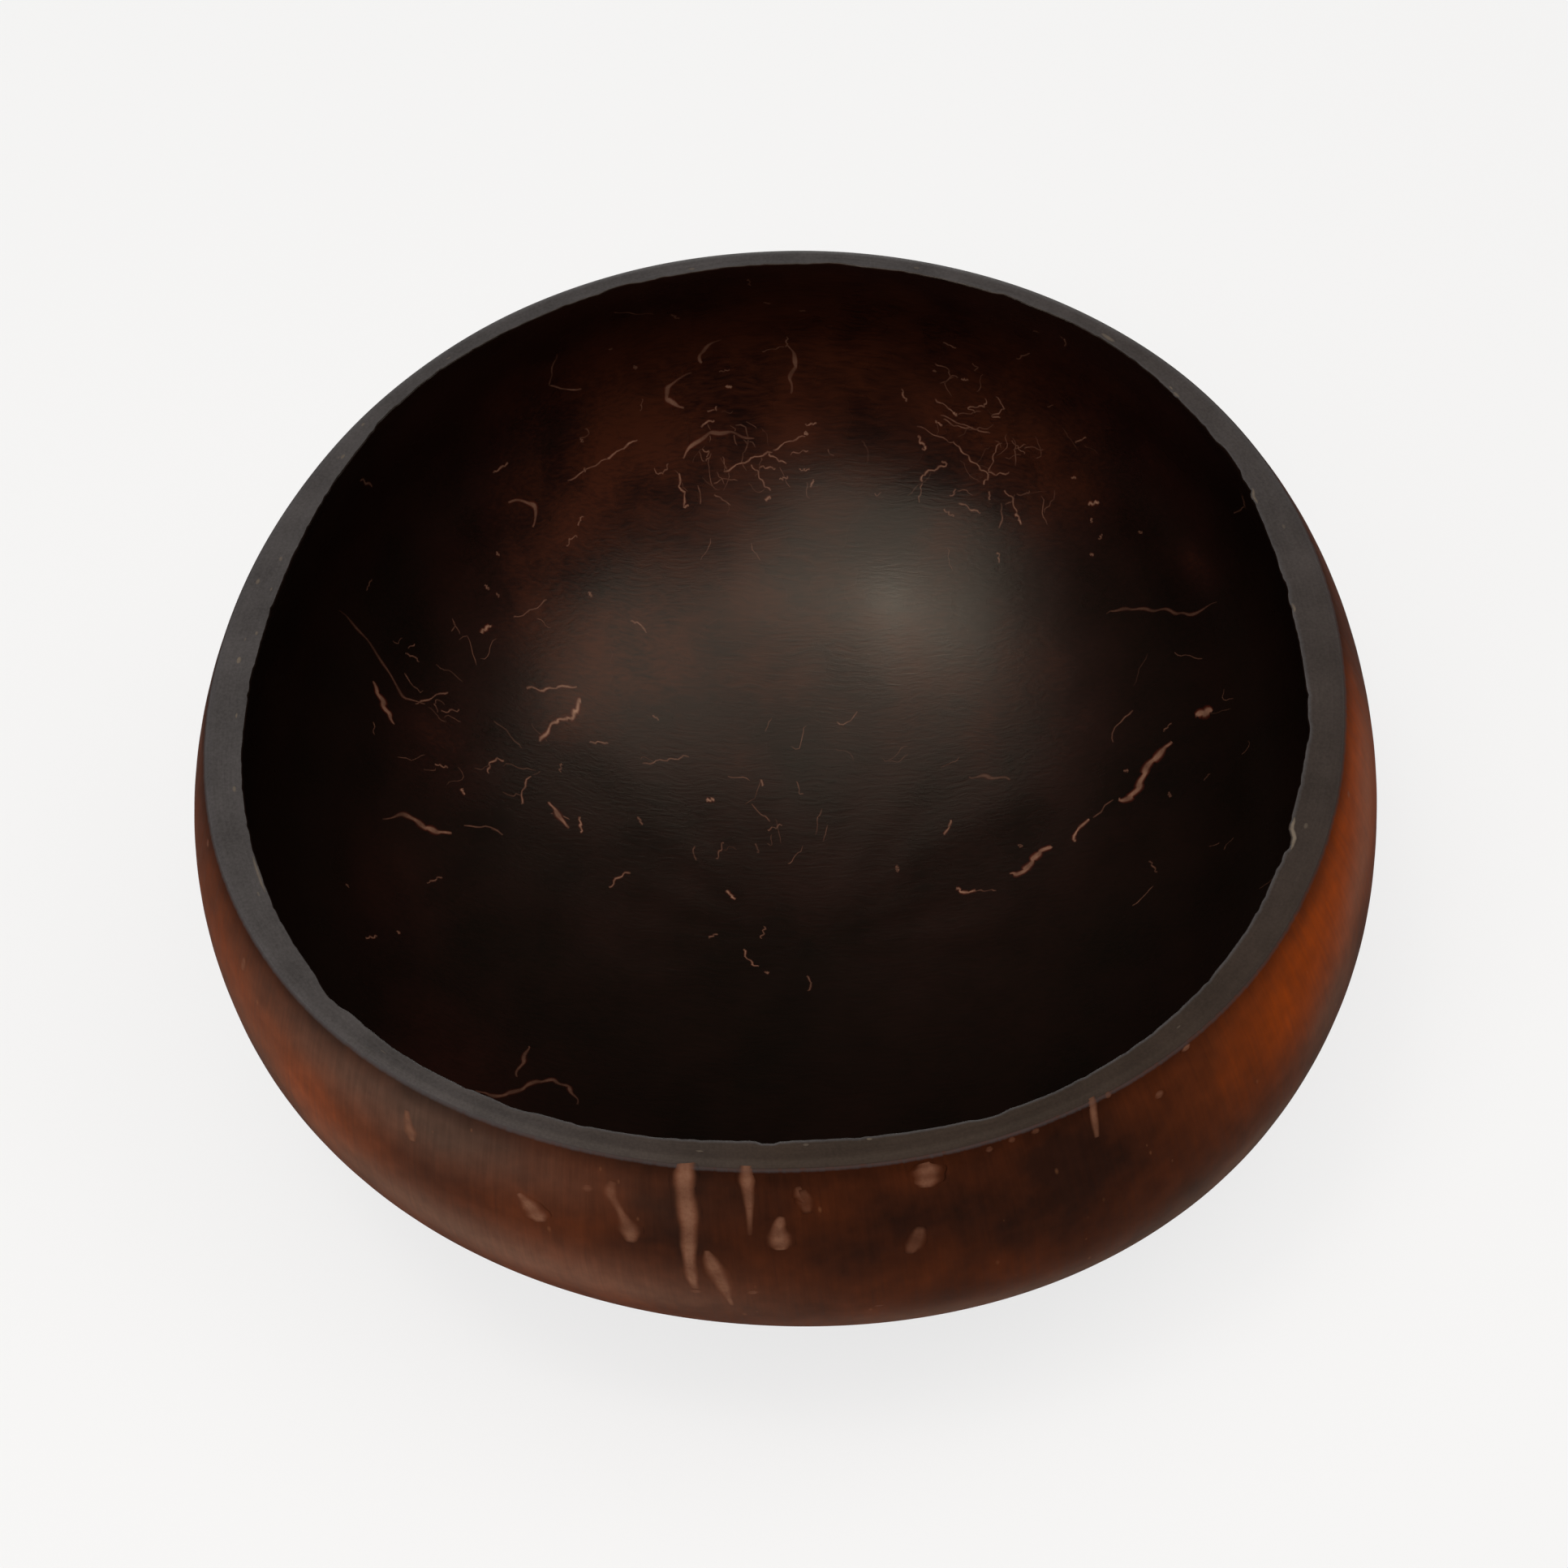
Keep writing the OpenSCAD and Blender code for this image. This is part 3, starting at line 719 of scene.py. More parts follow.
# %% [markdown]
# ## The wall with its finishes
# The faces of the wall take four finishes by their place: sanded outside, sawn rim, scraped
# inside and flat underneath. The rim's finish starts a little way round the worn outer edge, as
# on the real bowl, where the last pass of sandpaper takes both together.

# %% Dress the wall
wall = mesh_object(
    "coconut_wall", wall_points, grid.tolist() + base_fan.tolist() + floor_fan.tolist(),
    [outside_material, rim_material, inside_material, base_material],
)
ring_of_face = np.repeat(np.arange(len(rings) - 1), AROUND)
rim_from = len(outside) - EDGE_RINGS + 2
rim_to = len(outside) + len(rim) + 1
zones = np.where(ring_of_face < rim_from, 0, np.where(ring_of_face < rim_to, 1, 2))
zones = np.concatenate([zones, np.full(AROUND, 3), np.full(AROUND, 2)])
wall.data.polygons.foreach_set("material_index", zones.astype(np.int32))
give(wall, "warmth_and_shade", warmth_and_shade)
give(wall, "dullness_and_sheen", dullness_and_sheen)
give(wall, "share", share_values)
give(wall, "grain", grain)
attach(wall, "root")
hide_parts("shell")
wall.data.update()

# %% [markdown]
# ## Strands of fibre
# Bundles of fibre run through the shell. Sanded along their length they show as pale streaks,
# cut across as flecks, and inside as thin curls. Sandpaper leaves them level with the shell, so
# what the eye sees isn't an edge but a stain: pale in the middle, and fading into the brown. So
# each strand is a closed body along its own route, a hair proud of the wall, and its
# material is the body of the shell around it, made paler by a mask.

# %% Fibre materials
THREAD = 0.5 * MM
# The halo starts and is full at these shares of the half width, and hides this much of the shell
HALO = (0.85, 0.35, 0, 0.9)
# Range of the noise that breaks the pale core
BROKEN = (0.25, 0.6, 0.6, 1)


def marked(body, pale, halo, core):
    """Body of a strand: that of the shell, turned to a warm halo and then to pale by a mask, which
    starts at the given share of its half width."""
    def marked_body(tree):
        base, rough, normal = body(tree)
        place = add(tree, "TexCoord", out="Object")
        edge = add(tree, "Attribute", out="Fac", attribute_name="edge")
        strength = add(tree, "Attribute", out="Fac", attribute_name="strength")
        # The strand takes the wall's own direction, so its low relief catches no light
        lie = add(tree, "Attribute", out="Vector", attribute_name="lie")
        tree.links.new(lie, normal.node.inputs["Normal"])
        threads = add(tree, "TexNoise", {
            "Vector": place, "Scale": 1 / THREAD, "Detail": 3, "Roughness": 0.6,
        })
        inner = add(tree, "MapRange", (edge, core, 0, 0, 1), interpolation_type="SMOOTHSTEP")
        outer = add(tree, "MapRange", (edge, *HALO), interpolation_type="SMOOTHSTEP")
        broken = add(tree, "MapRange", (threads, *BROKEN))
        mask = add(tree, "Math", (inner, broken), operation="MULTIPLY")
        mask = add(tree, "Math", (mask, strength), operation="MULTIPLY")
        warm = add(tree, "Math", (outer, strength), operation="MULTIPLY", use_clamp=True)
        ringed = add(tree, "Mix", {0: warm, 6: base, 7: colour(halo)}, 2, data_type="RGBA")
        lit = add(tree, "Mix", {0: mask, 6: ringed, 7: colour(pale)}, 2, data_type="RGBA")
        return lit, rough, normal
    return marked_body


streak_body = marked(outside_body, "#86604c", "#5a2c17", 0.85)
streak_material = shell_material("sanded_fibre_streak", streak_body, OUTSIDE_LEVEL)
curl_body = marked(inside_body, "#a98069", "#4e1a0f", 0.55)
curl_material = shell_material("fine_fibre_curl", curl_body, INSIDE_LEVEL)
dot_body = marked(rim_body, "#8a7d6e", "#4a423c", 0.85)
dot_material = shell_material("cut_fibre_dot", dot_body, CUT_LEVEL)

# %% [markdown]
# ## How a strand is made
# Growth bends a bundle of fibre, and the saw or the sandpaper then cuts it off level. So a strand
# is a nearly flat ring carried along a smooth route on the wall: its top follows the wall, and its
# edges and belly lie buried in it. Inside, where the fibres are fine, a small crinkle is added
# to the route and the width wanders, because no real fibre is drawn with a ruler.

# %% Functions for strands
# Points round a ring, and rings from one place to the next
STRAND_POINTS, FLECK_POINTS, HAIR_POINTS = 14, 10, 8
STRAND_STEPS, FLECK_STEPS, HAIR_STEPS = 9, 3, 5
PROUD = 0.015 * MM
BURIED = 0.03 * MM
# Power of the ring's top: nearly flat, then steep at its edges
FLATNESS = 6
# A ring narrower than this half width is thinner too, down to a least share
FULL_HALF, LEAST_THICK = 0.35 * MM, 0.5
STRAND_DEPTH = 0.35 * MM
# Near the rim a strand levels out, to stay below the saw cut
LEVEL_REACH = 6 * RIM_EASE_OUT


def along_route(places, t):
    """Smooth route through its places: a cubic between each two that leaves them in line."""
    places = np.asarray(places, float)
    end = len(places) - 1
    i = np.minimum(np.floor(t).astype(int), end - 1)
    f = (t - i)[:, None]
    a, b = places[np.maximum(i - 1, 0)], places[i]
    c, d = places[i + 1], places[np.minimum(i + 2, end)]
    bend, twist = 2 * a - 5 * b + 4 * c - d, 3 * b - a - 3 * c + d
    return (2 * b + (c - a) * f + bend * f ** 2 + twist * f ** 3) / 2


def tapered(places, tip):
    """Three or more places, each with its width: the given share at the tips, full between."""
    if len(places) == 2:
        places = [places[0], tuple((a + b) / 2 for a, b in zip(*places)), places[1]]
    widths = [tip] + [1] * (len(places) - 2) + [tip]
    return [(*place, width) for place, width in zip(places, widths)]


def strand_rows(middle, down, half, depth, columns):
    """Rings of a strand: nearly flat, a hair over the surface, with its edges and belly buried."""
    side = np.cross(np.gradient(middle, axis=0), down)
    side[:, 2] *= np.clip((BOWL_H - middle[:, 2]) / LEVEL_REACH, 0, 1)
    side = side / np.linalg.norm(side, axis=1, keepdims=True)
    angle = np.linspace(0, 360, columns, endpoint=False)
    x = cosd(angle)
    top = -PROUD + (PROUD + BURIED) * x ** FLATNESS
    low = BURIED + (depth - BURIED) * sind(angle)
    thin = np.clip(half / FULL_HALF, LEAST_THICK, 1)
    height = np.where(sind(angle) > 1e-6, low, top) * thin[:, None]
    sideways = (half[:, None] * x)[..., None] * side[:, None]
    rows = middle[:, None] + sideways + height[..., None] * down[:, None]
    rows[..., 2] = np.minimum(rows[..., 2], BOWL_H)
    return rows


# %% A strand in the wall
# How much wider a drawn strand is than its node, since its edges fade into the shell
SOFT_EDGE = {"outer": 1.65, "inner": 2.1}
# How much its width wanders, and the least width of a faint strand
WANDER = {"outer": 0.06, "inner": 0.25}
FAINT_WIDTH = {"outer": 1, "inner": 0.5}
CRINKLE = 0.12 * MM
# Turns of the sines along a route, in radians from one place to the next
CRINKLE_DOWN, CRINKLE_ROUND = 7.3, 5.9
WIDTH_WAVE, WIDTH_RIPPLE = 6.1, 14
PALE_WAVE, PALE_SWING = 5.3, 0.2
# A strand fades over its last part, and one that the saw cut is full at the cut
TIP, SAWN, TIP_FADE = 0.06, 0.5, 2.5
# The first steps of such a strand are short, to follow the worn edge of the rim, where all is
# grey and the strand lies hidden
SAWN_STEPS = [0, 0.02, 0.05, 0.08]
SUNK = 0.05 * MM
EDGE_SHARE = UPPER_SHARE * RIM_EASE_OUT / BELLY_DROP
HIDDEN_TO, HIDDEN_FADE = 0.4 * EDGE_SHARE, 0.2 * EDGE_SHARE
# How far below the rim every strand ends
BELOW_RIM = 3 * RIM_SAG
# Steps over which the direction of the wall is measured, in degrees and in shares
STEP_ROUND, STEP_DOWN = 0.2, 0.004


def facing(face, bearing, share):
    """Direction in which the wall faces at a place, square to it and out of the shell."""
    here = wall_point(face, bearing, share)
    left, right = (wall_point(face, bearing + way, share) for way in (-STEP_ROUND, STEP_ROUND))
    normal = np.cross(right - left, wall_point(face, bearing, share + STEP_DOWN) - here)
    normal = normal / np.linalg.norm(normal, axis=-1, keepdims=True)
    out = -inward(face, here)
    return normal * np.sign(np.sum(normal * out, axis=-1, keepdims=True))


def wall_strand(face, places, width, strength, steps, columns=STRAND_POINTS):
    """Strand in a face: its rings, and for each ring its share of the way down, its strength and
    the direction in which the wall faces. Sines of the route make it crinkle and wander."""
    t = np.linspace(0, len(places) - 1, (len(places) - 1) * steps + 1)
    sawn = places[0][1] == 0
    if sawn:
        t = np.concatenate([SAWN_STEPS, t[1:]])
    route = along_route(places, t)
    phase = places[0][0]
    if face == "inner":
        route[:, 1] += CRINKLE / WALL_LENGTH * np.sin(CRINKLE_DOWN * t + 2 * phase)
        route[:, 0] += np.degrees(CRINKLE / RIM_R) * np.sin(CRINKLE_ROUND * t + 3 * phase)
    middle = wall_point(face, route[:, 0], route[:, 1])
    if face == "outer":
        hidden = np.clip((HIDDEN_TO - route[:, 1]) / HIDDEN_FADE, 0, 1)
        middle = middle + (SUNK * hidden)[:, None] * inward(face, middle)
    lie = facing(face, route[:, 0], route[:, 1])
    strength = np.interp(t, np.linspace(0, t[-1], np.size(strength)), np.atleast_1d(strength))
    faint = FAINT_WIDTH[face]
    waver = np.sin(WIDTH_WAVE * t + phase) + np.sin(WIDTH_RIPPLE * t) / 4
    soft = SOFT_EDGE[face] * (1 + WANDER[face] * waver)
    half = width / 2 * route[:, 2] * soft * (faint + (1 - faint) * strength)
    rows = strand_rows(middle, -lie, half, STRAND_DEPTH * min(1, width / MM), columns)
    rows[..., 2] = np.minimum(rows[..., 2], BOWL_H - BELOW_RIM)
    inset = np.linspace(SAWN if sawn else TIP, 1 - TIP, len(t))
    fade = np.clip(TIP_FADE * np.sin(np.pi * inset), 0, 1)
    uneven = 1 - PALE_SWING + PALE_SWING * np.sin(PALE_WAVE * t + 3 * phase)
    return rows, route[:, 1], strength * fade * uneven, lie


# %% Pieces of strands
def strand_marks(face, rows, shares, strength, lie):
    """What each point of a strand knows: the wall's warmth with its painted light and shade, its
    dullness with its painted sheen, its share and grain, how near it is to the strand's edge, how
    strong the strand is, and where the wall faces."""
    count, columns = rows.shape[:2]
    shift = LEAN * (rows[..., 2] / BOWL_H) ** 2
    x, y = rows[..., 0] - shift * cosd(LEAN_AT), rows[..., 1] - shift * sind(LEAN_AT)
    bearing = np.degrees(np.arctan2(y, x))
    share = shares[:, None] + 0 * bearing
    return {
        "edge": np.tile(np.abs(cosd(np.linspace(0, 360, columns, endpoint=False))), count),
        "strength": np.repeat(strength, columns),
        "warmth_and_shade": warmth_and_shade_at(face, bearing, share).ravel(),
        "dullness_and_sheen": clouds(bearing, share, DULL_AND_SHEEN_PATCHES).ravel(),
        "share": share.ravel(),
        "grain": outside_grain(bearing, share).reshape(-1, 3),
        "lie": np.repeat(lie, columns, axis=0),
    }


def strand_piece(name, face, strands, material):
    """One piece of closed strands: rings joined by a grid and closed by a face at each end."""
    faces, start = [], 0
    for rows, *_ in strands:
        count, columns = rows.shape[:2]
        faces += (grid_faces(count, columns) + start).tolist()
        faces.append((start + np.arange(columns)[::-1]).tolist())
        faces.append((start + (count - 1) * columns + np.arange(columns)).tolist())
        start += count * columns
    points = np.concatenate([rows.reshape(-1, 3) for rows, *_ in strands])
    piece = mesh_object(name, points, faces, [material])
    marks = [strand_marks(face, *strand) for strand in strands]
    for key in marks[0]:
        give(piece, key, np.concatenate([mark[key] for mark in marks]))
    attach(piece, "root")
    return piece


# %% [markdown]
# ## The strands of the CAD model
# Each strand that the CAD model has as a body of its own is drawn again on the same route, so it
# stays where its node is. Outside, sandpaper cut some bundles along their length, and they taper
# from a wide upper end to a thin tail, so each place has a width of its own. The strength says
# how pale a strand is, and where it isn't the same all along, it has some values from end to end.

# %% Outside strands
STREAK_W = 2 * MM
# Node: strength, then bearing, share of the way down and share of the full width of each place
OUTSIDE_STRANDS = {
    "streak_front_long": (1.0, [
        (261.2, 0, 0.8), (261, 0.03, 0.9), (261.2, 0.08, 0.85), (261, 0.13, 0.65),
        (261, 0.18, 0.55), (261.2, 0.205, 0.35),
    ]),
    "streak_front_short": ((0.9, 0.75, 0.3), [
        (266.8, 0, 0.5), (266.8, 0.02, 0.65), (266.8, 0.05, 0.4), (266.6, 0.095, 0.2),
    ]),
    "streak_front_low": (0.8, [
        (262.6, 0.125, 0.25), (263, 0.15, 0.8), (263.6, 0.185, 0.75), (264, 0.22, 0.35),
        (264.2, 0.25, 0.2),
    ]),
    "streak_front_left": ((0.35, 0.5, 0.8), [
        (254.4, 0.038, 0.35), (254.2, 0.055, 0.55), (255, 0.078, 0.35), (255.8, 0.108, 0.9),
        (255.8, 0.128, 0.4),
    ]),
    "streak_right_rim": (0.7, [(300.4, 0, 0.35), (300, 0.02, 0.4), (299.6, 0.05, 0.25)]),
    "fleck_front": (0.75, [
        (269.6, 0.066, 0.3), (269.2, 0.085, 0.7), (269.2, 0.105, 1), (269.2, 0.118, 0.5),
    ]),
    "fleck_front_left": (0.75, [
        (245.6, 0.092, 0.25), (246.4, 0.103, 0.7), (247.2, 0.118, 1), (247.6, 0.13, 0.6),
    ]),
    "fleck_front_right": (0.65, [
        (283.4, 0.012, 0.6), (283.4, 0.02, 1.1), (283.2, 0.034, 1.1), (283, 0.044, 0.6),
    ]),
    "fleck_left": (0.55, [
        (234.2, 0.04, 0.25), (234.4, 0.055, 0.45), (234.8, 0.07, 0.65), (235, 0.082, 0.3),
    ]),
}
for node, (strength, places) in OUTSIDE_STRANDS.items():
    strand = wall_strand("outer", places, STREAK_W, strength, STRAND_STEPS)
    piece = strand_piece(node + "_fibre", "outer", [strand], streak_material)
    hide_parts(node)
print("replaced", len(OUTSIDE_STRANDS), "strands outside")

# %% [markdown]
# ## Curls inside
# Inside, the bundles are thinner and curl. A curl is drawn on its route as the streaks are, but it
# is as wide all along but for its tips, so one width does for all of its places.

# %% Inside strands
CURL_W = 0.7 * MM
FLECK_W = 1.1 * MM
CURL_TIP = 0.4
# Curls that are wider or narrower than the others
SLIMMER = {"curl_left_long": 0.65, "curl_right_high": 0.75, "curl_right_long": 1.15}
# Node: strength, then bearing and share of the way down of each place
INSIDE_STRANDS = {
    "fleck_inside_right": (1.0, [(24.8, 0.507), (24.2, 0.495), (23.6, 0.483)]),
    "curl_left_long": ((0.25, 0.3, 0.4), [
        (153.8, 0.291), (152.9, 0.35), (153.2, 0.42), (154.4, 0.47), (152.8, 0.503),
    ]),
    "curl_left_short": (0.9, [(156.2, 0.419), (157, 0.44), (157.8, 0.458), (158.5, 0.477)]),
    "curl_left_low": ((0.2, 0.6, 0.9, 0.8), [
        (172, 0.515), (169.6, 0.543), (169.9, 0.565), (169.8, 0.582), (168.8, 0.603),
    ]),
    "curl_front_hook": ((0.4, 0.35, 0.3), [
        (215.8, 0.601), (217.6, 0.617), (218, 0.643), (217.6, 0.67), (218.6, 0.69), (221.6, 0.699),
        (225.2, 0.693),
    ]),
    "curl_front": (0.35, [(210, 0.69), (212.6, 0.675), (215.4, 0.655)]),
    "curl_floor_bar": (0.3, [(47, 0.76), (43, 0.745), (39, 0.73)]),
    "curl_floor_left": (0.8, [(153, 0.692), (154.4, 0.708), (155.8, 0.724)]),
    "curl_right_low": (0.95, [
        (17.2, 0.781), (16.2, 0.768), (17.8, 0.756), (19.4, 0.744), (19.3, 0.729),
    ]),
    "curl_right_long": (1.0, [
        (21.2, 0.643), (20.4, 0.629), (21.4, 0.612), (23.2, 0.596), (23.8, 0.575), (24.2, 0.553),
    ]),
    "curl_right_high": (0.28, [
        (45.5, 0.517), (43.8, 0.498), (41, 0.476), (38, 0.451), (35.5, 0.432), (33.2, 0.382),
    ]),
    "curl_back_hook": ((0.3, 0.8, 1), [(101.6, 0.285), (104.4, 0.305), (104.6, 0.33), (103, 0.35)]),
    "curl_back": ((0.4, 0.6, 0.8), [(98, 0.22), (100.2, 0.245), (100.4, 0.27)]),
    "curl_back_right": ((0.6, 0.7, 0.4, 0.6), [
        (90.8, 0.249), (90.1, 0.285), (90.8, 0.314), (90.8, 0.344),
    ]),
    "curl_back_low": ((1, 0.45, 0.35), [(104.4, 0.425), (101.4, 0.4), (98.6, 0.4), (95.6, 0.415)]),
    "curl_back_left": (0.6, [(126.6, 0.38), (123.8, 0.405), (125, 0.435)]),
}
for node, (strength, places) in INSIDE_STRANDS.items():
    width = FLECK_W if node.startswith("fleck") else CURL_W * SLIMMER.get(node, 1)
    strand = wall_strand("inner", tapered(places, CURL_TIP), width, strength, STRAND_STEPS)
    piece = strand_piece(node + "_fibre", "inner", [strand], curl_material)
    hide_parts(node)
print("replaced", len(INSIDE_STRANDS), "strands inside")

# %% [markdown]
# ## Hairs
# Between the strands lie finer hairs, a quarter to a half of a millimetre wide with their stain.
# The clearer ones are at the places where the photograph shows them. Each row gives the width in
# mm, the strength, and then the bearing and share of each place.

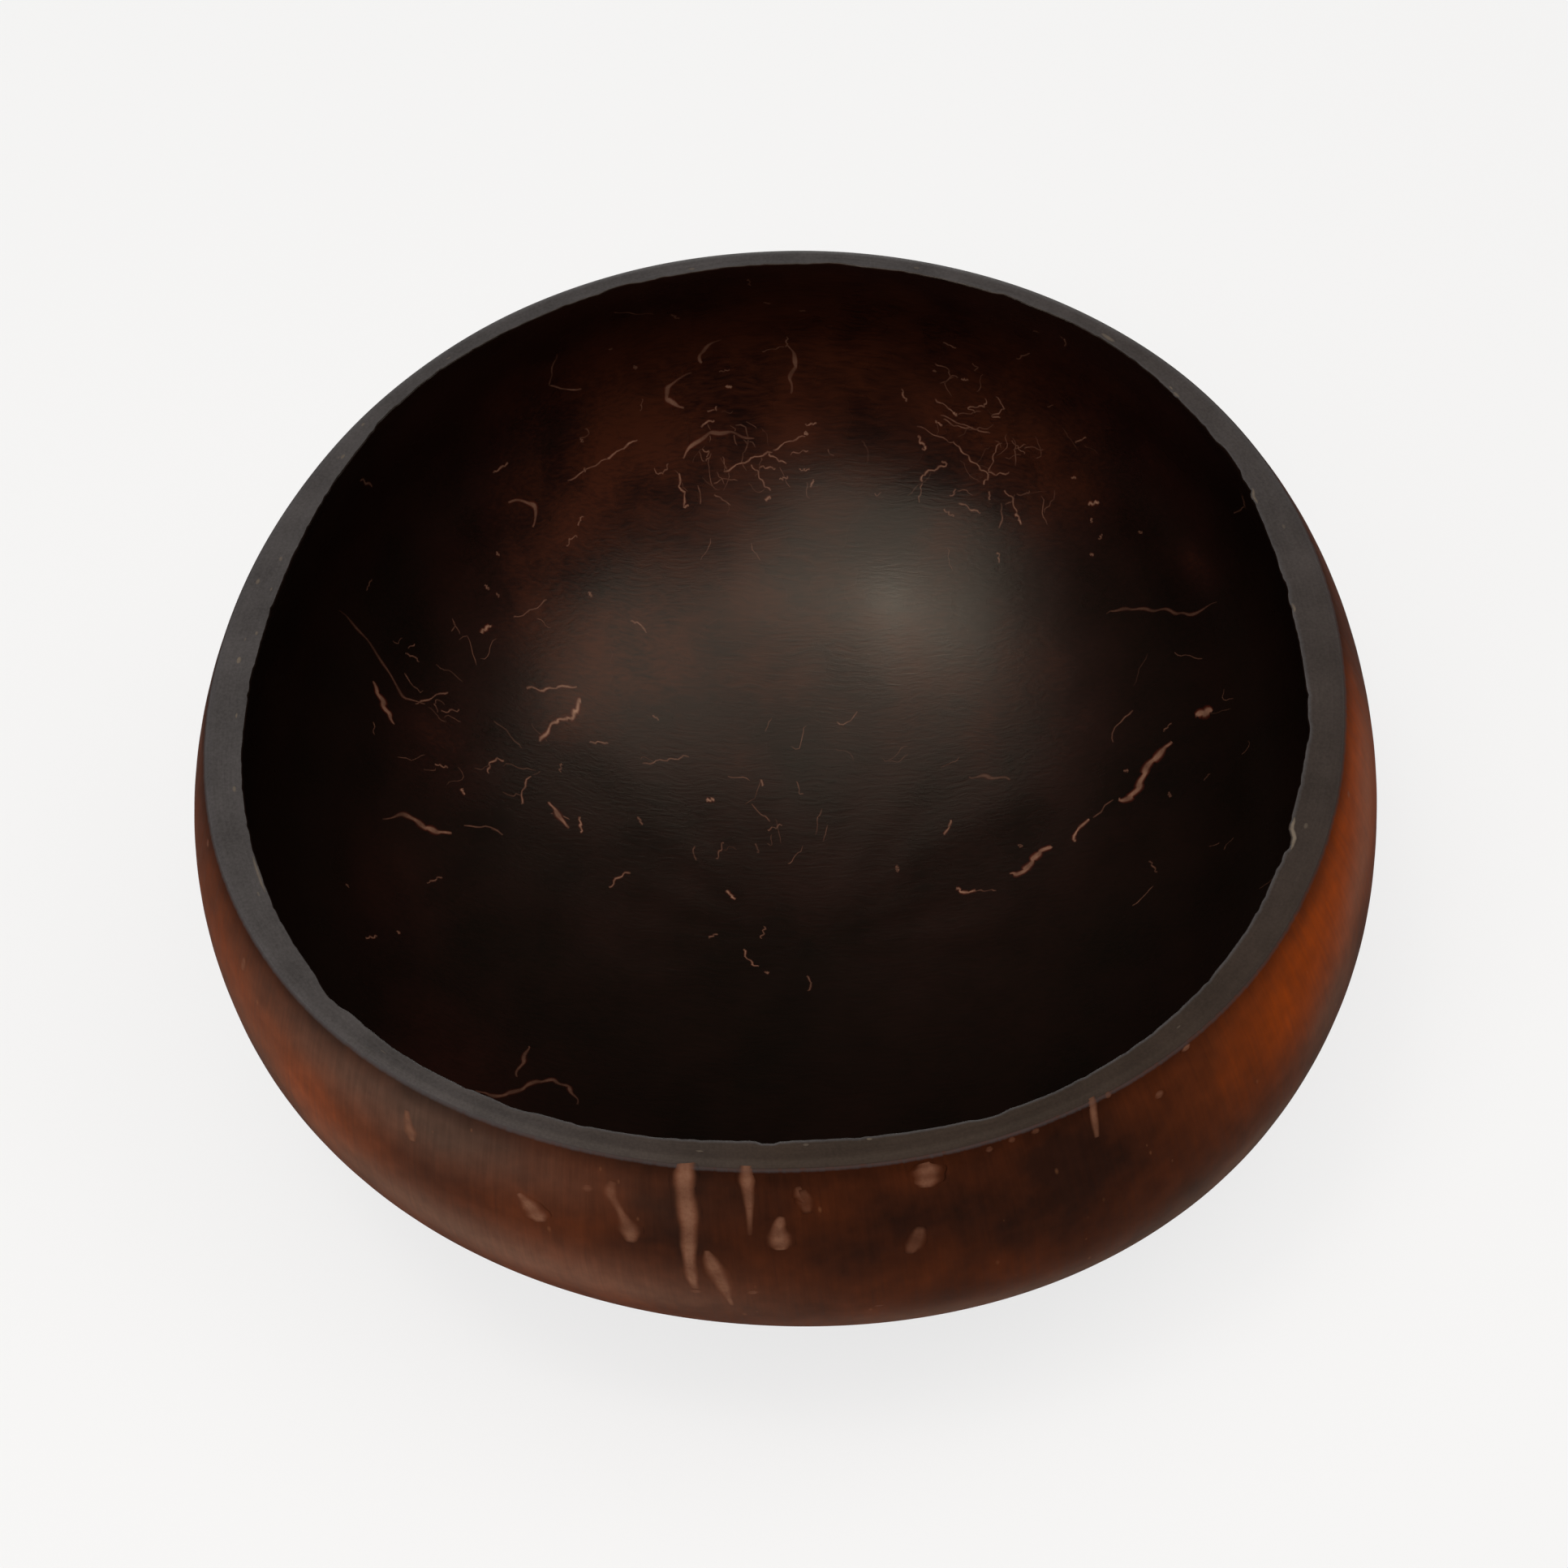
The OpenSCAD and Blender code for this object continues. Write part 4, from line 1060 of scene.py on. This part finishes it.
# %% Hairs that can be seen
HAIRS = {
    "hairs_back_left": [
        (0.3, 0.75, [(99.8, 0.457), (97.5, 0.448), (95.2, 0.44), (93.5, 0.435)]),
        (0.28, 0.7, [(93.5, 0.435), (91.5, 0.422), (89.5, 0.414)]),
        (0.4, 0.9, [(89.5, 0.409), (89.2, 0.412)]), (0.3, 0.8, [(89.5, 0.397), (88.2, 0.395)]),
        (0.3, 0.7, [(94, 0.437), (93, 0.447), (92, 0.452)]),
        (0.28, 0.6, [(96.2, 0.452), (95.5, 0.463), (95, 0.478), (94.2, 0.488)]),
        (0.4, 0.8, [(94.8, 0.5), (94.2, 0.498)]), (0.3, 0.6, [(95.2, 0.455), (93.2, 0.46)]),
        (0.25, 0.5, [(91.5, 0.44), (89.2, 0.435)]), (0.3, 0.6, [(90.2, 0.462), (89.2, 0.463)]),
        (0.32, 0.75, [(105, 0.445), (105.5, 0.463), (105, 0.475), (105.5, 0.49), (105, 0.492)]),
        (0.3, 0.5, [(118.8, 0.4), (115.5, 0.395), (113.2, 0.392)]),
        (0.34, 0.75, [(113.2, 0.392), (111, 0.385), (109.2, 0.379)]),
        (0.3, 0.8, [(101.5, 0.384), (100.8, 0.379), (99.8, 0.379)]),
        (0.3, 0.5, [(100.5, 0.36), (99.5, 0.362), (99.5, 0.354)]),
        (0.4, 0.9, [(98, 0.324), (97.5, 0.324)]), (0.25, 0.4, [(98.5, 0.294), (97.5, 0.292)]),
        (0.3, 0.45, [(108.2, 0.429), (107.5, 0.439), (106.8, 0.437), (106.2, 0.429)]),
        (0.3, 0.6, [(92.8, 0.475), (91.8, 0.472)]), (0.3, 0.6, [(89, 0.485), (88.5, 0.477)]),
        (0.3, 0.5, [(116.2, 0.148), (117, 0.184), (117.5, 0.214)]),
        (0.3, 0.6, [(117.5, 0.214), (116, 0.239), (114, 0.256)]),
        (0.4, 0.7, [(107.8, 0.243), (107.5, 0.251)]), (0.25, 0.4, [(107.5, 0.314), (108, 0.334)]),
        (0.3, 0.55, [(102, 0.419), (101.2, 0.424), (101.5, 0.432)]),
        (0.3, 0.5, [(115.5, 0.346), (115.5, 0.352)]), (0.3, 0.5, [(116.2, 0.392), (116.2, 0.397)]),
        (0.3, 0.5, [(90.8, 0.229), (91, 0.252)]), (0.25, 0.35, [(93.8, 0.261), (91.2, 0.252)]),
        (0.3, 0.5, [(119.5, 0.463), (118.5, 0.455)]),
        (0.3, 0.5, [(122, 0.482), (121.2, 0.475), (120.2, 0.477)]),
        (0.4, 0.6, [(102.8, 0.138), (102.2, 0.154)]),
        (0.3, 0.5, [(109.2, 0.086), (107.2, 0.106), (104.8, 0.126)]),
        (0.4, 0.7, [(92.8, 0.14), (92.2, 0.143)]), (0.4, 0.6, [(89.2, 0.164), (88.5, 0.166)]),
        (0.35, 0.5, [(110.2, 0.186), (109.8, 0.186)]), (0.3, 0.5, [(94, 0.055), (94, 0.081)]),
    ],
    "hairs_back_right": [
        (0.3, 0.6, [(74.8, 0.332), (73.5, 0.339), (72.5, 0.347)]),
        (0.4, 0.8, [(72.5, 0.347), (72, 0.35)]),
        (0.28, 0.65, [(70, 0.337), (70.8, 0.332), (69.5, 0.324), (69, 0.319), (69, 0.307)]),
        (0.28, 0.6, [(67.8, 0.297), (67, 0.309), (67, 0.319), (68, 0.334), (67, 0.332)]),
        (0.34, 0.9, [(74.5, 0.369), (73.5, 0.374)]),
        (0.28, 0.5, [(73.8, 0.357), (71, 0.364), (69.2, 0.364)]),
        (0.26, 0.5, [(73.5, 0.362), (72, 0.369), (70.2, 0.365), (68, 0.365)]),
        (0.26, 0.45, [(76.5, 0.382), (73.8, 0.392), (72, 0.397)]),
        (0.36, 0.85, [(76.2, 0.397), (75.8, 0.407), (75.2, 0.412), (75.5, 0.417)]),
        (0.28, 0.7, [(72, 0.395), (70.8, 0.405), (69.5, 0.415), (68, 0.424), (67, 0.427)]),
        (0.28, 0.65, [(67, 0.427), (67.5, 0.444)]),
        (0.28, 0.6, [(67.2, 0.425), (66, 0.422), (64.8, 0.414)]),
        (0.26, 0.5, [(66.5, 0.372), (67, 0.39), (67, 0.405), (67.2, 0.424)]),
        (0.26, 0.45, [(65.2, 0.365), (63.5, 0.377)]),
        (0.3, 0.6, [(64.8, 0.442), (63.5, 0.448), (62.5, 0.465)]),
        (0.36, 0.8, [(62.5, 0.465), (61.5, 0.475)]),
        (0.32, 0.7, [(75, 0.462), (75, 0.453), (73.8, 0.442), (72.5, 0.432), (73, 0.427)]),
        (0.26, 0.4, [(75, 0.465), (75, 0.49)]),
        (0.28, 0.6, [(69.8, 0.478), (68, 0.482), (66.8, 0.482)]),
        (0.32, 0.65, [(78.5, 0.324), (78.2, 0.337), (77.8, 0.344)]),
        (0.34, 0.7, [(73.8, 0.206), (72.5, 0.211)]), (0.4, 0.7, [(71.8, 0.281), (71.2, 0.279)]),
        (0.34, 0.55, [(75, 0.277), (74.8, 0.277)]),
        (0.3, 0.4, [(70.8, 0.239), (70.2, 0.246), (70.5, 0.257)]),
        (0.3, 0.6, [(65.5, 0.194), (64.8, 0.181), (63.8, 0.166)]),
        (0.4, 0.95, [(54.2, 0.404), (53.2, 0.392)]), (0.35, 0.6, [(57.2, 0.379), (56.8, 0.377)]),
        (0.3, 0.5, [(66.5, 0.45), (66.2, 0.46)]),
        (0.3, 0.5, [(71.2, 0.473), (70.8, 0.468), (70.8, 0.462)]),
        (0.3, 0.5, [(71.5, 0.493), (70.2, 0.498)]), (0.34, 0.5, [(63, 0.522), (62.5, 0.533)]),
        (0.3, 0.5, [(58, 0.321), (56.8, 0.302)]), (0.35, 0.5, [(53.2, 0.42), (53, 0.425)]),
        (0.35, 0.5, [(51.2, 0.432), (51.2, 0.44)]), (0.35, 0.6, [(51.5, 0.465), (51, 0.465)]),
        (0.3, 0.4, [(75, 0.261), (73.5, 0.267), (73.2, 0.281)]),
        (0.3, 0.4, [(74.2, 0.301), (72.8, 0.279), (72.2, 0.281)]),
        (0.3, 0.55, [(59.2, 0.08), (58.8, 0.085), (59.2, 0.106)]),
        (0.3, 0.4, [(62.8, 0.098), (62.2, 0.096)]), (0.45, 0.6, [(33.2, 0.141), (33, 0.163)]),
        (0.3, 0.45, [(33, 0.163), (35.2, 0.211)]), (0.4, 0.6, [(43.5, 0.038), (43, 0.04)]),
        (0.35, 0.45, [(47, 0.394), (46.5, 0.392)]),
    ],
    "hairs_left": [
        (0.3, 0.5, [(154, 0.49), (152, 0.502), (149, 0.518)]),
        (0.45, 0.95, [(139, 0.502), (137.2, 0.505)]),
        (0.4, 0.6, [(139, 0.591), (137, 0.608), (134.5, 0.618), (131.8, 0.633)]),
        (0.7, 1, [(132.8, 0.645), (134.8, 0.651), (136.5, 0.654)]),
        (0.5, 0.85, [(136.5, 0.654), (138.2, 0.646), (140.2, 0.643), (144.2, 0.645)]),
        (0.35, 0.5, [(118.2, 0.603), (117.2, 0.608), (116.5, 0.623)]),
        (0.35, 0.6, [(122, 0.548), (122, 0.553)]),
        (0.3, 0.6, [(155.2, 0.615), (153.8, 0.611), (152, 0.616), (151.8, 0.625)]),
        (0.3, 0.55, [(156.8, 0.666), (153.8, 0.659), (150.8, 0.658)]),
        (0.35, 0.85, [(152, 0.729), (155, 0.738)]), (0.34, 0.8, [(160.5, 0.595), (161, 0.6)]),
        (0.3, 0.55, [(159.5, 0.553), (158.8, 0.568)]), (0.3, 0.4, [(179, 0.59), (177, 0.606)]),
        (0.35, 0.5, [(190.8, 0.515), (190.2, 0.53)]), (0.35, 0.5, [(188.5, 0.558), (188.8, 0.561)]),
        (0.35, 0.4, [(184, 0.482), (184.2, 0.485)]),
        (0.34, 0.6, [(166.2, 0.789), (161.8, 0.794), (158.8, 0.802)]),
        (0.35, 0.5, [(137, 0.688), (135.5, 0.694), (134, 0.703)]),
        (0.3, 0.4, [(149.8, 0.439), (149.2, 0.45), (149, 0.462)]),
        (0.35, 0.6, [(131, 0.434), (130.8, 0.439)]), (0.35, 0.6, [(134.5, 0.46), (134.5, 0.467)]),
        (0.4, 0.4, [(133.8, 0.48), (133.8, 0.485)]), (0.3, 0.35, [(147.5, 0.312), (148.8, 0.317)]),
        (0.3, 0.4, [(152.2, 0.525), (149.8, 0.545)]),
        (0.3, 0.35, [(133.8, 0.518), (131.2, 0.525), (128.2, 0.527)]),
        (0.3, 0.35, [(144.5, 0.678), (146.2, 0.683)]), (0.3, 0.35, [(122.8, 0.706), (122, 0.714)]),
        (0.5, 0.5, [(145.2, 0.103), (143.2, 0.151)]), (0.4, 0.6, [(127, 0.324), (124.8, 0.324)]),
    ],
    "hairs_floor": [
        (0.4, 0.8, [(122.8, 0.814), (120.2, 0.817)]), (0.35, 0.5, [(103.8, 0.816), (103.8, 0.822)]),
        (0.4, 0.9, [(144.2, 0.899), (145.8, 0.91)]),
        (0.3, 0.6, [(188.5, 0.935), (202.2, 0.939), (211.5, 0.944)]),
        (0.35, 0.5, [(221.2, 0.947), (223.8, 0.948)]),
        (0.3, 0.4, [(156.5, 0.952), (165, 0.953), (175, 0.952)]),
        (0.3, 0.4, [(179.2, 0.899), (175.5, 0.907)]),
        (0.3, 0.4, [(126.5, 0.86), (129.8, 0.865), (134, 0.869)]),
        (0.3, 0.4, [(131, 0.744), (127, 0.752), (123.8, 0.759), (120.2, 0.764)]),
        (0.3, 0.35, [(106.8, 0.869), (103.2, 0.869), (100.2, 0.867)]),
        (0.35, 0.6, [(42.2, 0.806), (40.8, 0.812), (40.2, 0.822)]),
        (0.35, 0.4, [(43.5, 0.877), (40.8, 0.88)]),
        (0.4, 0.85, [(20, 0.837), (17.2, 0.832), (16.2, 0.821)]),
        (0.25, 0.3, [(16.2, 0.821), (13.8, 0.799)]),
        (0.4, 0.9, [(17.8, 0.706), (20, 0.698), (20.8, 0.681)]),
        (0.3, 0.35, [(26.5, 0.556), (26.5, 0.551), (26.5, 0.543)]),
        (0.35, 0.4, [(25.2, 0.621), (24.8, 0.618)]), (0.35, 0.4, [(24, 0.762), (23, 0.759)]),
        (0.35, 0.35, [(17.2, 0.583), (16.5, 0.581)]), (0.3, 0.3, [(7.2, 0.626), (4.5, 0.62)]),
        (0.3, 0.3, [(42.8, 0.879), (41, 0.88)]), (0.35, 0.35, [(142, 0.779), (143, 0.787)]),
        (0.35, 0.3, [(269.8, 0.96), (275.2, 0.952), (270.8, 0.942)]),
    ],
}


def seen_hair(width, strength, places):
    """Hair from its places, as wide all along and fading at both tips."""
    return wall_strand("inner", tapered(places, 1), width * MM, strength, HAIR_STEPS, HAIR_POINTS)


for name, hairs in HAIRS.items():
    strands = [seen_hair(*hair) for hair in hairs]
    piece = strand_piece(name, "inner", strands, curl_material)
    print(name, "has", len(hairs), "hairs and", len(piece.data.polygons), "faces")

# %% [markdown]
# ## Faint flecks outside
# Where a bundle was only just reached by the sandpaper, a faint fleck shows. Its soft oval comes
# from a strand of three places that is widest in the middle.

# %% Faint flecks outside
FLECK_TIP = 0.5
# Width in mm, strength, then bearing and share of each place
FAINT_FLECKS = [
    (1.6, 0.35, [(280.4, 0.14), (281.2, 0.12), (281.8, 0.098)]),
    (1.1, 0.4, [(271.4, 0.026), (271.6, 0.036), (271.9, 0.047)]),
    (1.2, 0.55, [(261.2, 0.207), (261.2, 0.215)]), (1.1, 0.5, [(266.2, 0.199), (266.3, 0.207)]),
    (1.0, 0.4, [(277.2, 0.253), (277.2, 0.26)]), (1.0, 0.45, [(306.9, 0.036), (306.6, 0.045)]),
    (0.7, 0.35, [(302, 0.004), (302, 0.01)]), (1.1, 0.8, [(311.2, 0.0075), (311.2, 0.013)]),
    (0.8, 0.5, [(346.5, 0.024), (346.5, 0.032)]), (0.8, 0.5, [(211.5, 0.044), (211.4, 0.067)]),
    (0.8, 0.55, [(199.2, 0.017), (199.2, 0.027)]), (0.7, 0.3, [(291.8, 0.008), (291.8, 0.015)]),
    (0.7, 0.3, [(289.5, 0.011), (289.5, 0.018)]), (1.0, 0.3, [(252, 0.05), (252.1, 0.06)]),
    (1.3, 0.25, [(271.8, 0.03), (271.9, 0.045), (272, 0.062)]),
    (0.9, 0.3, [(294.2, 0.008), (294.2, 0.014)]),
]


def outside_fleck(width, strength, places):
    """Fleck from its places, widest in the middle."""
    route = tapered(places, FLECK_TIP)
    return wall_strand("outer", route, width * MM, strength, FLECK_STEPS, FLECK_POINTS)


seen_flecks = [outside_fleck(*fleck) for fleck in FAINT_FLECKS]
strand_piece("flecks_at_the_front", "outer", seen_flecks, streak_material)
print(len(FAINT_FLECKS), "faint flecks")

# %% [markdown]
# ## Strands out of sight
# The same shell goes on where the photograph doesn't look: streaks and flecks all round the
# outside, and dozens of fine hairs inside. They are drawn from seeded random numbers, so every
# run grows the same bowl. A hair is a walk in even steps whose heading drifts as it goes.

# %% Strands drawn at random
BACK_FLECKS = 64
# Bearings and shares where they start, and the share where the last may end
BACK_BEARINGS, BACK_SHARES, BACK_END = (362, 552), (0.004, 0.92), 0.97
# Lengths in mm of a short fleck and of a long streak, and how often a streak comes
SHORT, LONG, LONG_CHANCE = (0.8, 3.2), (5, 14), 0.2
FLECK_DRIFT = 0.4
FLECK_WIDTHS, FLECK_STRENGTHS = (0.9, 1.5), (0.25, 0.8)
# Lengths and widths in mm and strengths of the hairs
HAIR_PLACES = 8
HAIR_LENGTHS, HAIR_WIDTHS, HAIR_STRENGTHS = (1, 5), (0.16, 0.3), (0.1, 0.4)
# Spread of their starts in the patch, of their lie in degrees, and of each turn in radians
START_SPREAD, LIE_SPREAD, TURN_SPREAD = 0.5, 40, 0.4
# Patches of hairs: bearing, share, half width and half height in mm, number, lie in degrees
HAIR_PATCHES = {
    "hairs_fine_back_left": (98, 0.42, 13, 8, 30, 30),
    "hairs_fine_back_right": (68, 0.4, 11, 8, 30, -30),
    "hairs_fine_left": (150, 0.55, 16, 12, 26, 40),
    "hairs_fine_front": (270, 0.5, 60, 16, 40, 0),
    "hairs_fine_right": (20, 0.5, 26, 14, 12, 70),
    "hairs_fine_floor": (90, 0.82, 16, 10, 20, 10),
}


def random_fleck(draws):
    """Fleck outside: mostly short, sometimes a long streak, down the wall as the fibres run."""
    bearing = draws.uniform(*BACK_BEARINGS)
    share = draws.uniform(*BACK_SHARES)
    lengths = LONG if draws.random() < LONG_CHANCE else SHORT
    end = min(share + draws.uniform(*lengths) * MM / WALL_LENGTH, BACK_END)
    drift = draws.normal(0, FLECK_DRIFT, 2)
    half_way = bearing + drift[0], (share + end) / 2
    places = [(bearing, share), half_way, (bearing + drift.sum(), end)]
    return outside_fleck(draws.uniform(*FLECK_WIDTHS), draws.uniform(*FLECK_STRENGTHS), places)


def random_hair(patch, draws):
    """Fine hair inside: a walk from a random start in its patch."""
    bearing, share, wide, high, _, lie = patch
    radius = profile(np.array(float(share)), INSIDE_R, 0, INSIDE_H, 90)[0]
    start = draws.normal(0, START_SPREAD, 2)
    heading = np.radians(lie + draws.normal(0, LIE_SPREAD))
    headings = heading + np.cumsum(draws.normal(0, TURN_SPREAD, HAIR_PLACES))
    step = draws.uniform(*HAIR_LENGTHS) * MM / HAIR_PLACES
    right = start[0] * wide * MM + np.cumsum(step * np.cos(headings))
    down = start[1] * high * MM + np.cumsum(step * np.sin(headings))
    places = np.stack([
        bearing - np.degrees(right / radius), share + down / WALL_LENGTH, 1 + 0 * right,
    ], axis=1).tolist()
    width, strength = draws.uniform(*HAIR_WIDTHS) * MM, draws.uniform(*HAIR_STRENGTHS)
    return wall_strand("inner", places, width, strength, 1, HAIR_POINTS)


draws = np.random.default_rng(7)
back_flecks = [random_fleck(draws) for _ in range(BACK_FLECKS)]
strand_piece("flecks_round_the_back", "outer", back_flecks, streak_material)
for name, patch in HAIR_PATCHES.items():
    draws = np.random.default_rng(patch[4] + len(name))
    fine_hairs = [random_hair(patch, draws) for _ in range(patch[4])]
    piece = strand_piece(name, "inner", fine_hairs, curl_material)
    print(name, "has", len(fine_hairs), "hairs and", len(piece.data.polygons), "faces")

# %% [markdown]
# ## Dots in the rim
# Cut straight across, a fibre is a tan dot on the grey of the rim. Each is a short strand that
# lies along the rim, nearly as wide in the middle as it is long. A scratch is one that is slimmer.

# %% Rim dots
# Bearing, how far across from the inner edge, length in mm, strength, and for a scratch its half
# width as a share of its length
RIM_DOTS = [
    (130.2, 0.67, 0.7, 0.5), (143.4, 0.94, 0.6, 0.5), (148.7, 0.69, 0.6, 0.4),
    (148.3, 0.46, 0.8, 0.5), (164.1, 0.36, 0.7, 0.45), (167.7, 0.83, 0.8, 0.6),
    (168.4, 0.22, 0.6, 0.5), (178.3, 0.54, 1.0, 0.7), (174.6, 0.19, 0.6, 0.5),
    (175.5, 0.55, 0.7, 0.5), (185.6, 0.26, 0.7, 0.5), (194.9, 0.24, 0.8, 0.5),
    (278.7, 0.1, 0.6, 0.6), (207.9, 0.3, 0.7, 0.4), (262.3, 0.64, 0.8, 0.4), (42.4, 0.15, 0.6, 0.6),
    (52.1, 0.47, 0.7, 0.3), (100, 0.3, 0.8, 0.35), (20, 0.6, 0.7, 0.3), (272.5, 0.2, 0.6, 0.35),
    (340, 0.5, 0.8, 0.3), (312, 0.7, 0.7, 0.3), (230, 0.6, 0.8, 0.3), (75, 0.6, 0.7, 0.3),
    (338.6, 0.06, 4.4, 1.0, 0.08), (205.8, 0.04, 5, 0.5, 0.05), (52, 0.35, 2, 0.5, 0.2),
    (9, 0.04, 1.4, 0.6, 0.2), (25, 0.05, 2.4, 0.6, 0.12), (41.3, 0.06, 1, 0.6, 0.3),
]
DOT_ROWS = 9
# The first and last ring lie this far along a dot's half, because at its very end it has no width
DOT_END = 0.96
DOT_DEPTH = 0.2 * MM
DOT_SLIM = 0.4


def rim_dot(bearing, from_inside, length, strength, slim=DOT_SLIM):
    """Dot on the rim: its rings, its shares and its strengths, none of it above the saw cut."""
    along = np.linspace(-DOT_END, DOT_END, DOT_ROWS)
    dot_bearings = bearing + np.degrees(length * MM / 2 / RIM_R) * along
    middle = rim_point(dot_bearings, 1 - from_inside + 0 * dot_bearings)
    down = np.tile([0.0, 0.0, -1.0], (DOT_ROWS, 1))
    round_off = np.sqrt(1 - along ** 2)
    rows = strand_rows(middle, down, slim * length * MM * round_off, DOT_DEPTH, FLECK_POINTS)
    return rows, 0 * along, strength * np.sqrt(round_off), -down


rim_dots = [rim_dot(*dot) for dot in RIM_DOTS]
strand_piece("dots_in_the_rim", "rim", rim_dots, dot_material)
print(len(RIM_DOTS), "dots in the rim")

# %% [markdown]
# ## Studio
# The floor is a wide pale disc that curves up far away, so no horizon shows from any side. A
# share of its white is a light of its own, which the camera alone sees: it keeps the floor pale
# and the shadow soft, and lends the bowl no glow. Far from the bowl it is all of the white.

# %% Floor
FLOOR_R = 6.0
COVE_H = 1.4
FLOOR_SIDES, COVE_RINGS = 96, 9
FLAT_RINGS = np.array([0.05, 0.3, 1, 3, FLOOR_R - COVE_H])
FLOOR_PALE = "#f2f2f2"
# How much of the white is the floor's own light at the nearer radius. At the farther it is all.
OWN_LIGHT = 0.75
NEAR_R, FAR_R = 0.15, 0.9


def make_floor():
    """White floor, part of whose white is its own light, and far from the bowl all of it."""
    material = bpy.data.materials.new("studio_floor")
    material.use_nodes = True
    tree = material.node_tree
    tree.nodes.clear()
    seen = add(tree, "LightPath", out="Is Camera Ray")
    place = add(tree, "TexCoord", out="Object")
    away = add(tree, "VectorMath", (place,), "Value", operation="LENGTH")
    reach = (away, NEAR_R, FAR_R, OWN_LIGHT, 1)
    own = add(tree, "MapRange", reach, interpolation_type="SMOOTHSTEP")
    share = add(tree, "Math", (seen, own), operation="MULTIPLY")
    matt = add(tree, "BsdfDiffuse", {"Color": colour(FLOOR_PALE)})
    light = add(tree, "Emission", {"Color": (1, 1, 1, 1), "Strength": 1.0})
    both = add(tree, "MixShader", (share, matt, light))
    add(tree, "OutputMaterial", {"Surface": both})
    return material


turn = np.arange(FLOOR_SIDES) * 360 / FLOOR_SIDES
sweep = np.linspace(0, 90, COVE_RINGS + 1)[1:]
radii = np.append(FLAT_RINGS, FLOOR_R - COVE_H * (1 - sind(sweep)))[:, None]
heights = np.append(0 * FLAT_RINGS, COVE_H * (1 - cosd(sweep)))[:, None]
floor_points = np.stack([radii * cosd(turn), radii * sind(turn), heights + 0 * turn], axis=-1)
floor_faces = grid_faces(len(radii), FLOOR_SIDES).tolist() + [list(range(FLOOR_SIDES))[::-1]]
floor = mesh_object("studio_floor", floor_points, floor_faces, [make_floor()])
print("floor:", len(floor_faces), "faces")

# %% [markdown]
# ## Lamps
# Four soft boxes hang overhead, three wide and one small. They were placed where the sheen inside
# the bowl and the brighter spot in it say that the light came from. Three low ones at the sides
# and the back light the outside, and don't reach into the bowl.

# %% Lamps and world
LAMP_DISTANCE = 0.9
LAMP_WARM, LAMP_WHITE = "#fffaf3", "#ffffff"
# Bearing and height in degrees, two sides in metres, level and tint
LAMPS = {
    "lamp_front_window": (-114, 62.8, 0.62, 0.62, 0.384, LAMP_WARM),
    "lamp_right_window": (-7, 66, 0.52, 0.52, 0.215, LAMP_WARM),
    "lamp_left_window": (-172, 79, 0.58, 0.58, 0.19, LAMP_WARM),
    "lamp_bright_spot": (-136, 74, 0.14, 0.14, 0.067, LAMP_WARM),
    "lamp_low_left": (222, 5, 0.6, 0.1, 0.315, LAMP_WHITE),
    "lamp_low_right": (-12, 5, 0.6, 0.1, 0.163, LAMP_WHITE),
    "lamp_low_back": (90, 5, 0.6, 0.1, 0.22, LAMP_WHITE),
}
WORLD_LEVEL = 0.05


def lamp(name, bearing, height, wide, high, level, tint):
    """Soft box at a bearing and a height, aimed at the middle of the bowl. The level is how bright
    it alone makes a white card that faces it."""
    data = bpy.data.lights.new(name, "AREA")
    data.shape = "RECTANGLE"
    data.size = wide
    data.size_y = high
    data.energy = level * math.pi ** 2 * LAMP_DISTANCE ** 2
    data.color = colour(tint)[:3]
    way = Vector((cosd(bearing) * cosd(height), sind(bearing) * cosd(height), sind(height)))
    made = bpy.data.objects.new(name, data)
    made.location = way * LAMP_DISTANCE + Vector((0, 0, BOWL_H / 2))
    made.rotation_euler = way.to_track_quat("Z", "Y").to_euler()
    bpy.context.scene.collection.objects.link(made)


for name, settings in LAMPS.items():
    lamp(name, *settings)

world = bpy.data.worlds.new("studio")
bpy.context.scene.world = world
world.use_nodes = True
background = world.node_tree.nodes["Background"]
background.inputs["Color"].default_value = (1, 1, 1, 1)
background.inputs["Strength"].default_value = WORLD_LEVEL
print("made", len(LAMPS), "lamps")

# %% [markdown]
# ## Camera
# The view was worked out from the photograph: the rim's outline, seen as an oval, gives the
# tilt, and its widening towards the front gives the distance. That is 55 degrees above the table
# and 380 mm from a point a little in front of the middle of the rim, with an 85 mm lens.

# %% Camera
TILT = 54.81
DISTANCE = 380 * MM
LENS = 85.0
AIM = np.array([-2.64 * MM, -14.29 * MM, BOWL_H])

camera_data = bpy.data.cameras.new("camera")
camera_data.lens = LENS
camera_data.sensor_width = 36.0
camera_data.clip_start = 0.01
camera_data.clip_end = 50.0
camera = bpy.data.objects.new("camera", camera_data)
camera.location = AIM + DISTANCE * np.array([0, -cosd(TILT), sind(TILT)])
camera.rotation_euler = (math.radians(90 - TILT), 0, 0)
bpy.context.scene.collection.objects.link(camera)
bpy.context.scene.camera = camera
bpy.context.scene.view_settings.view_transform = "Standard"
print("camera at", [round(v / MM, 1) for v in camera.location], "mm")
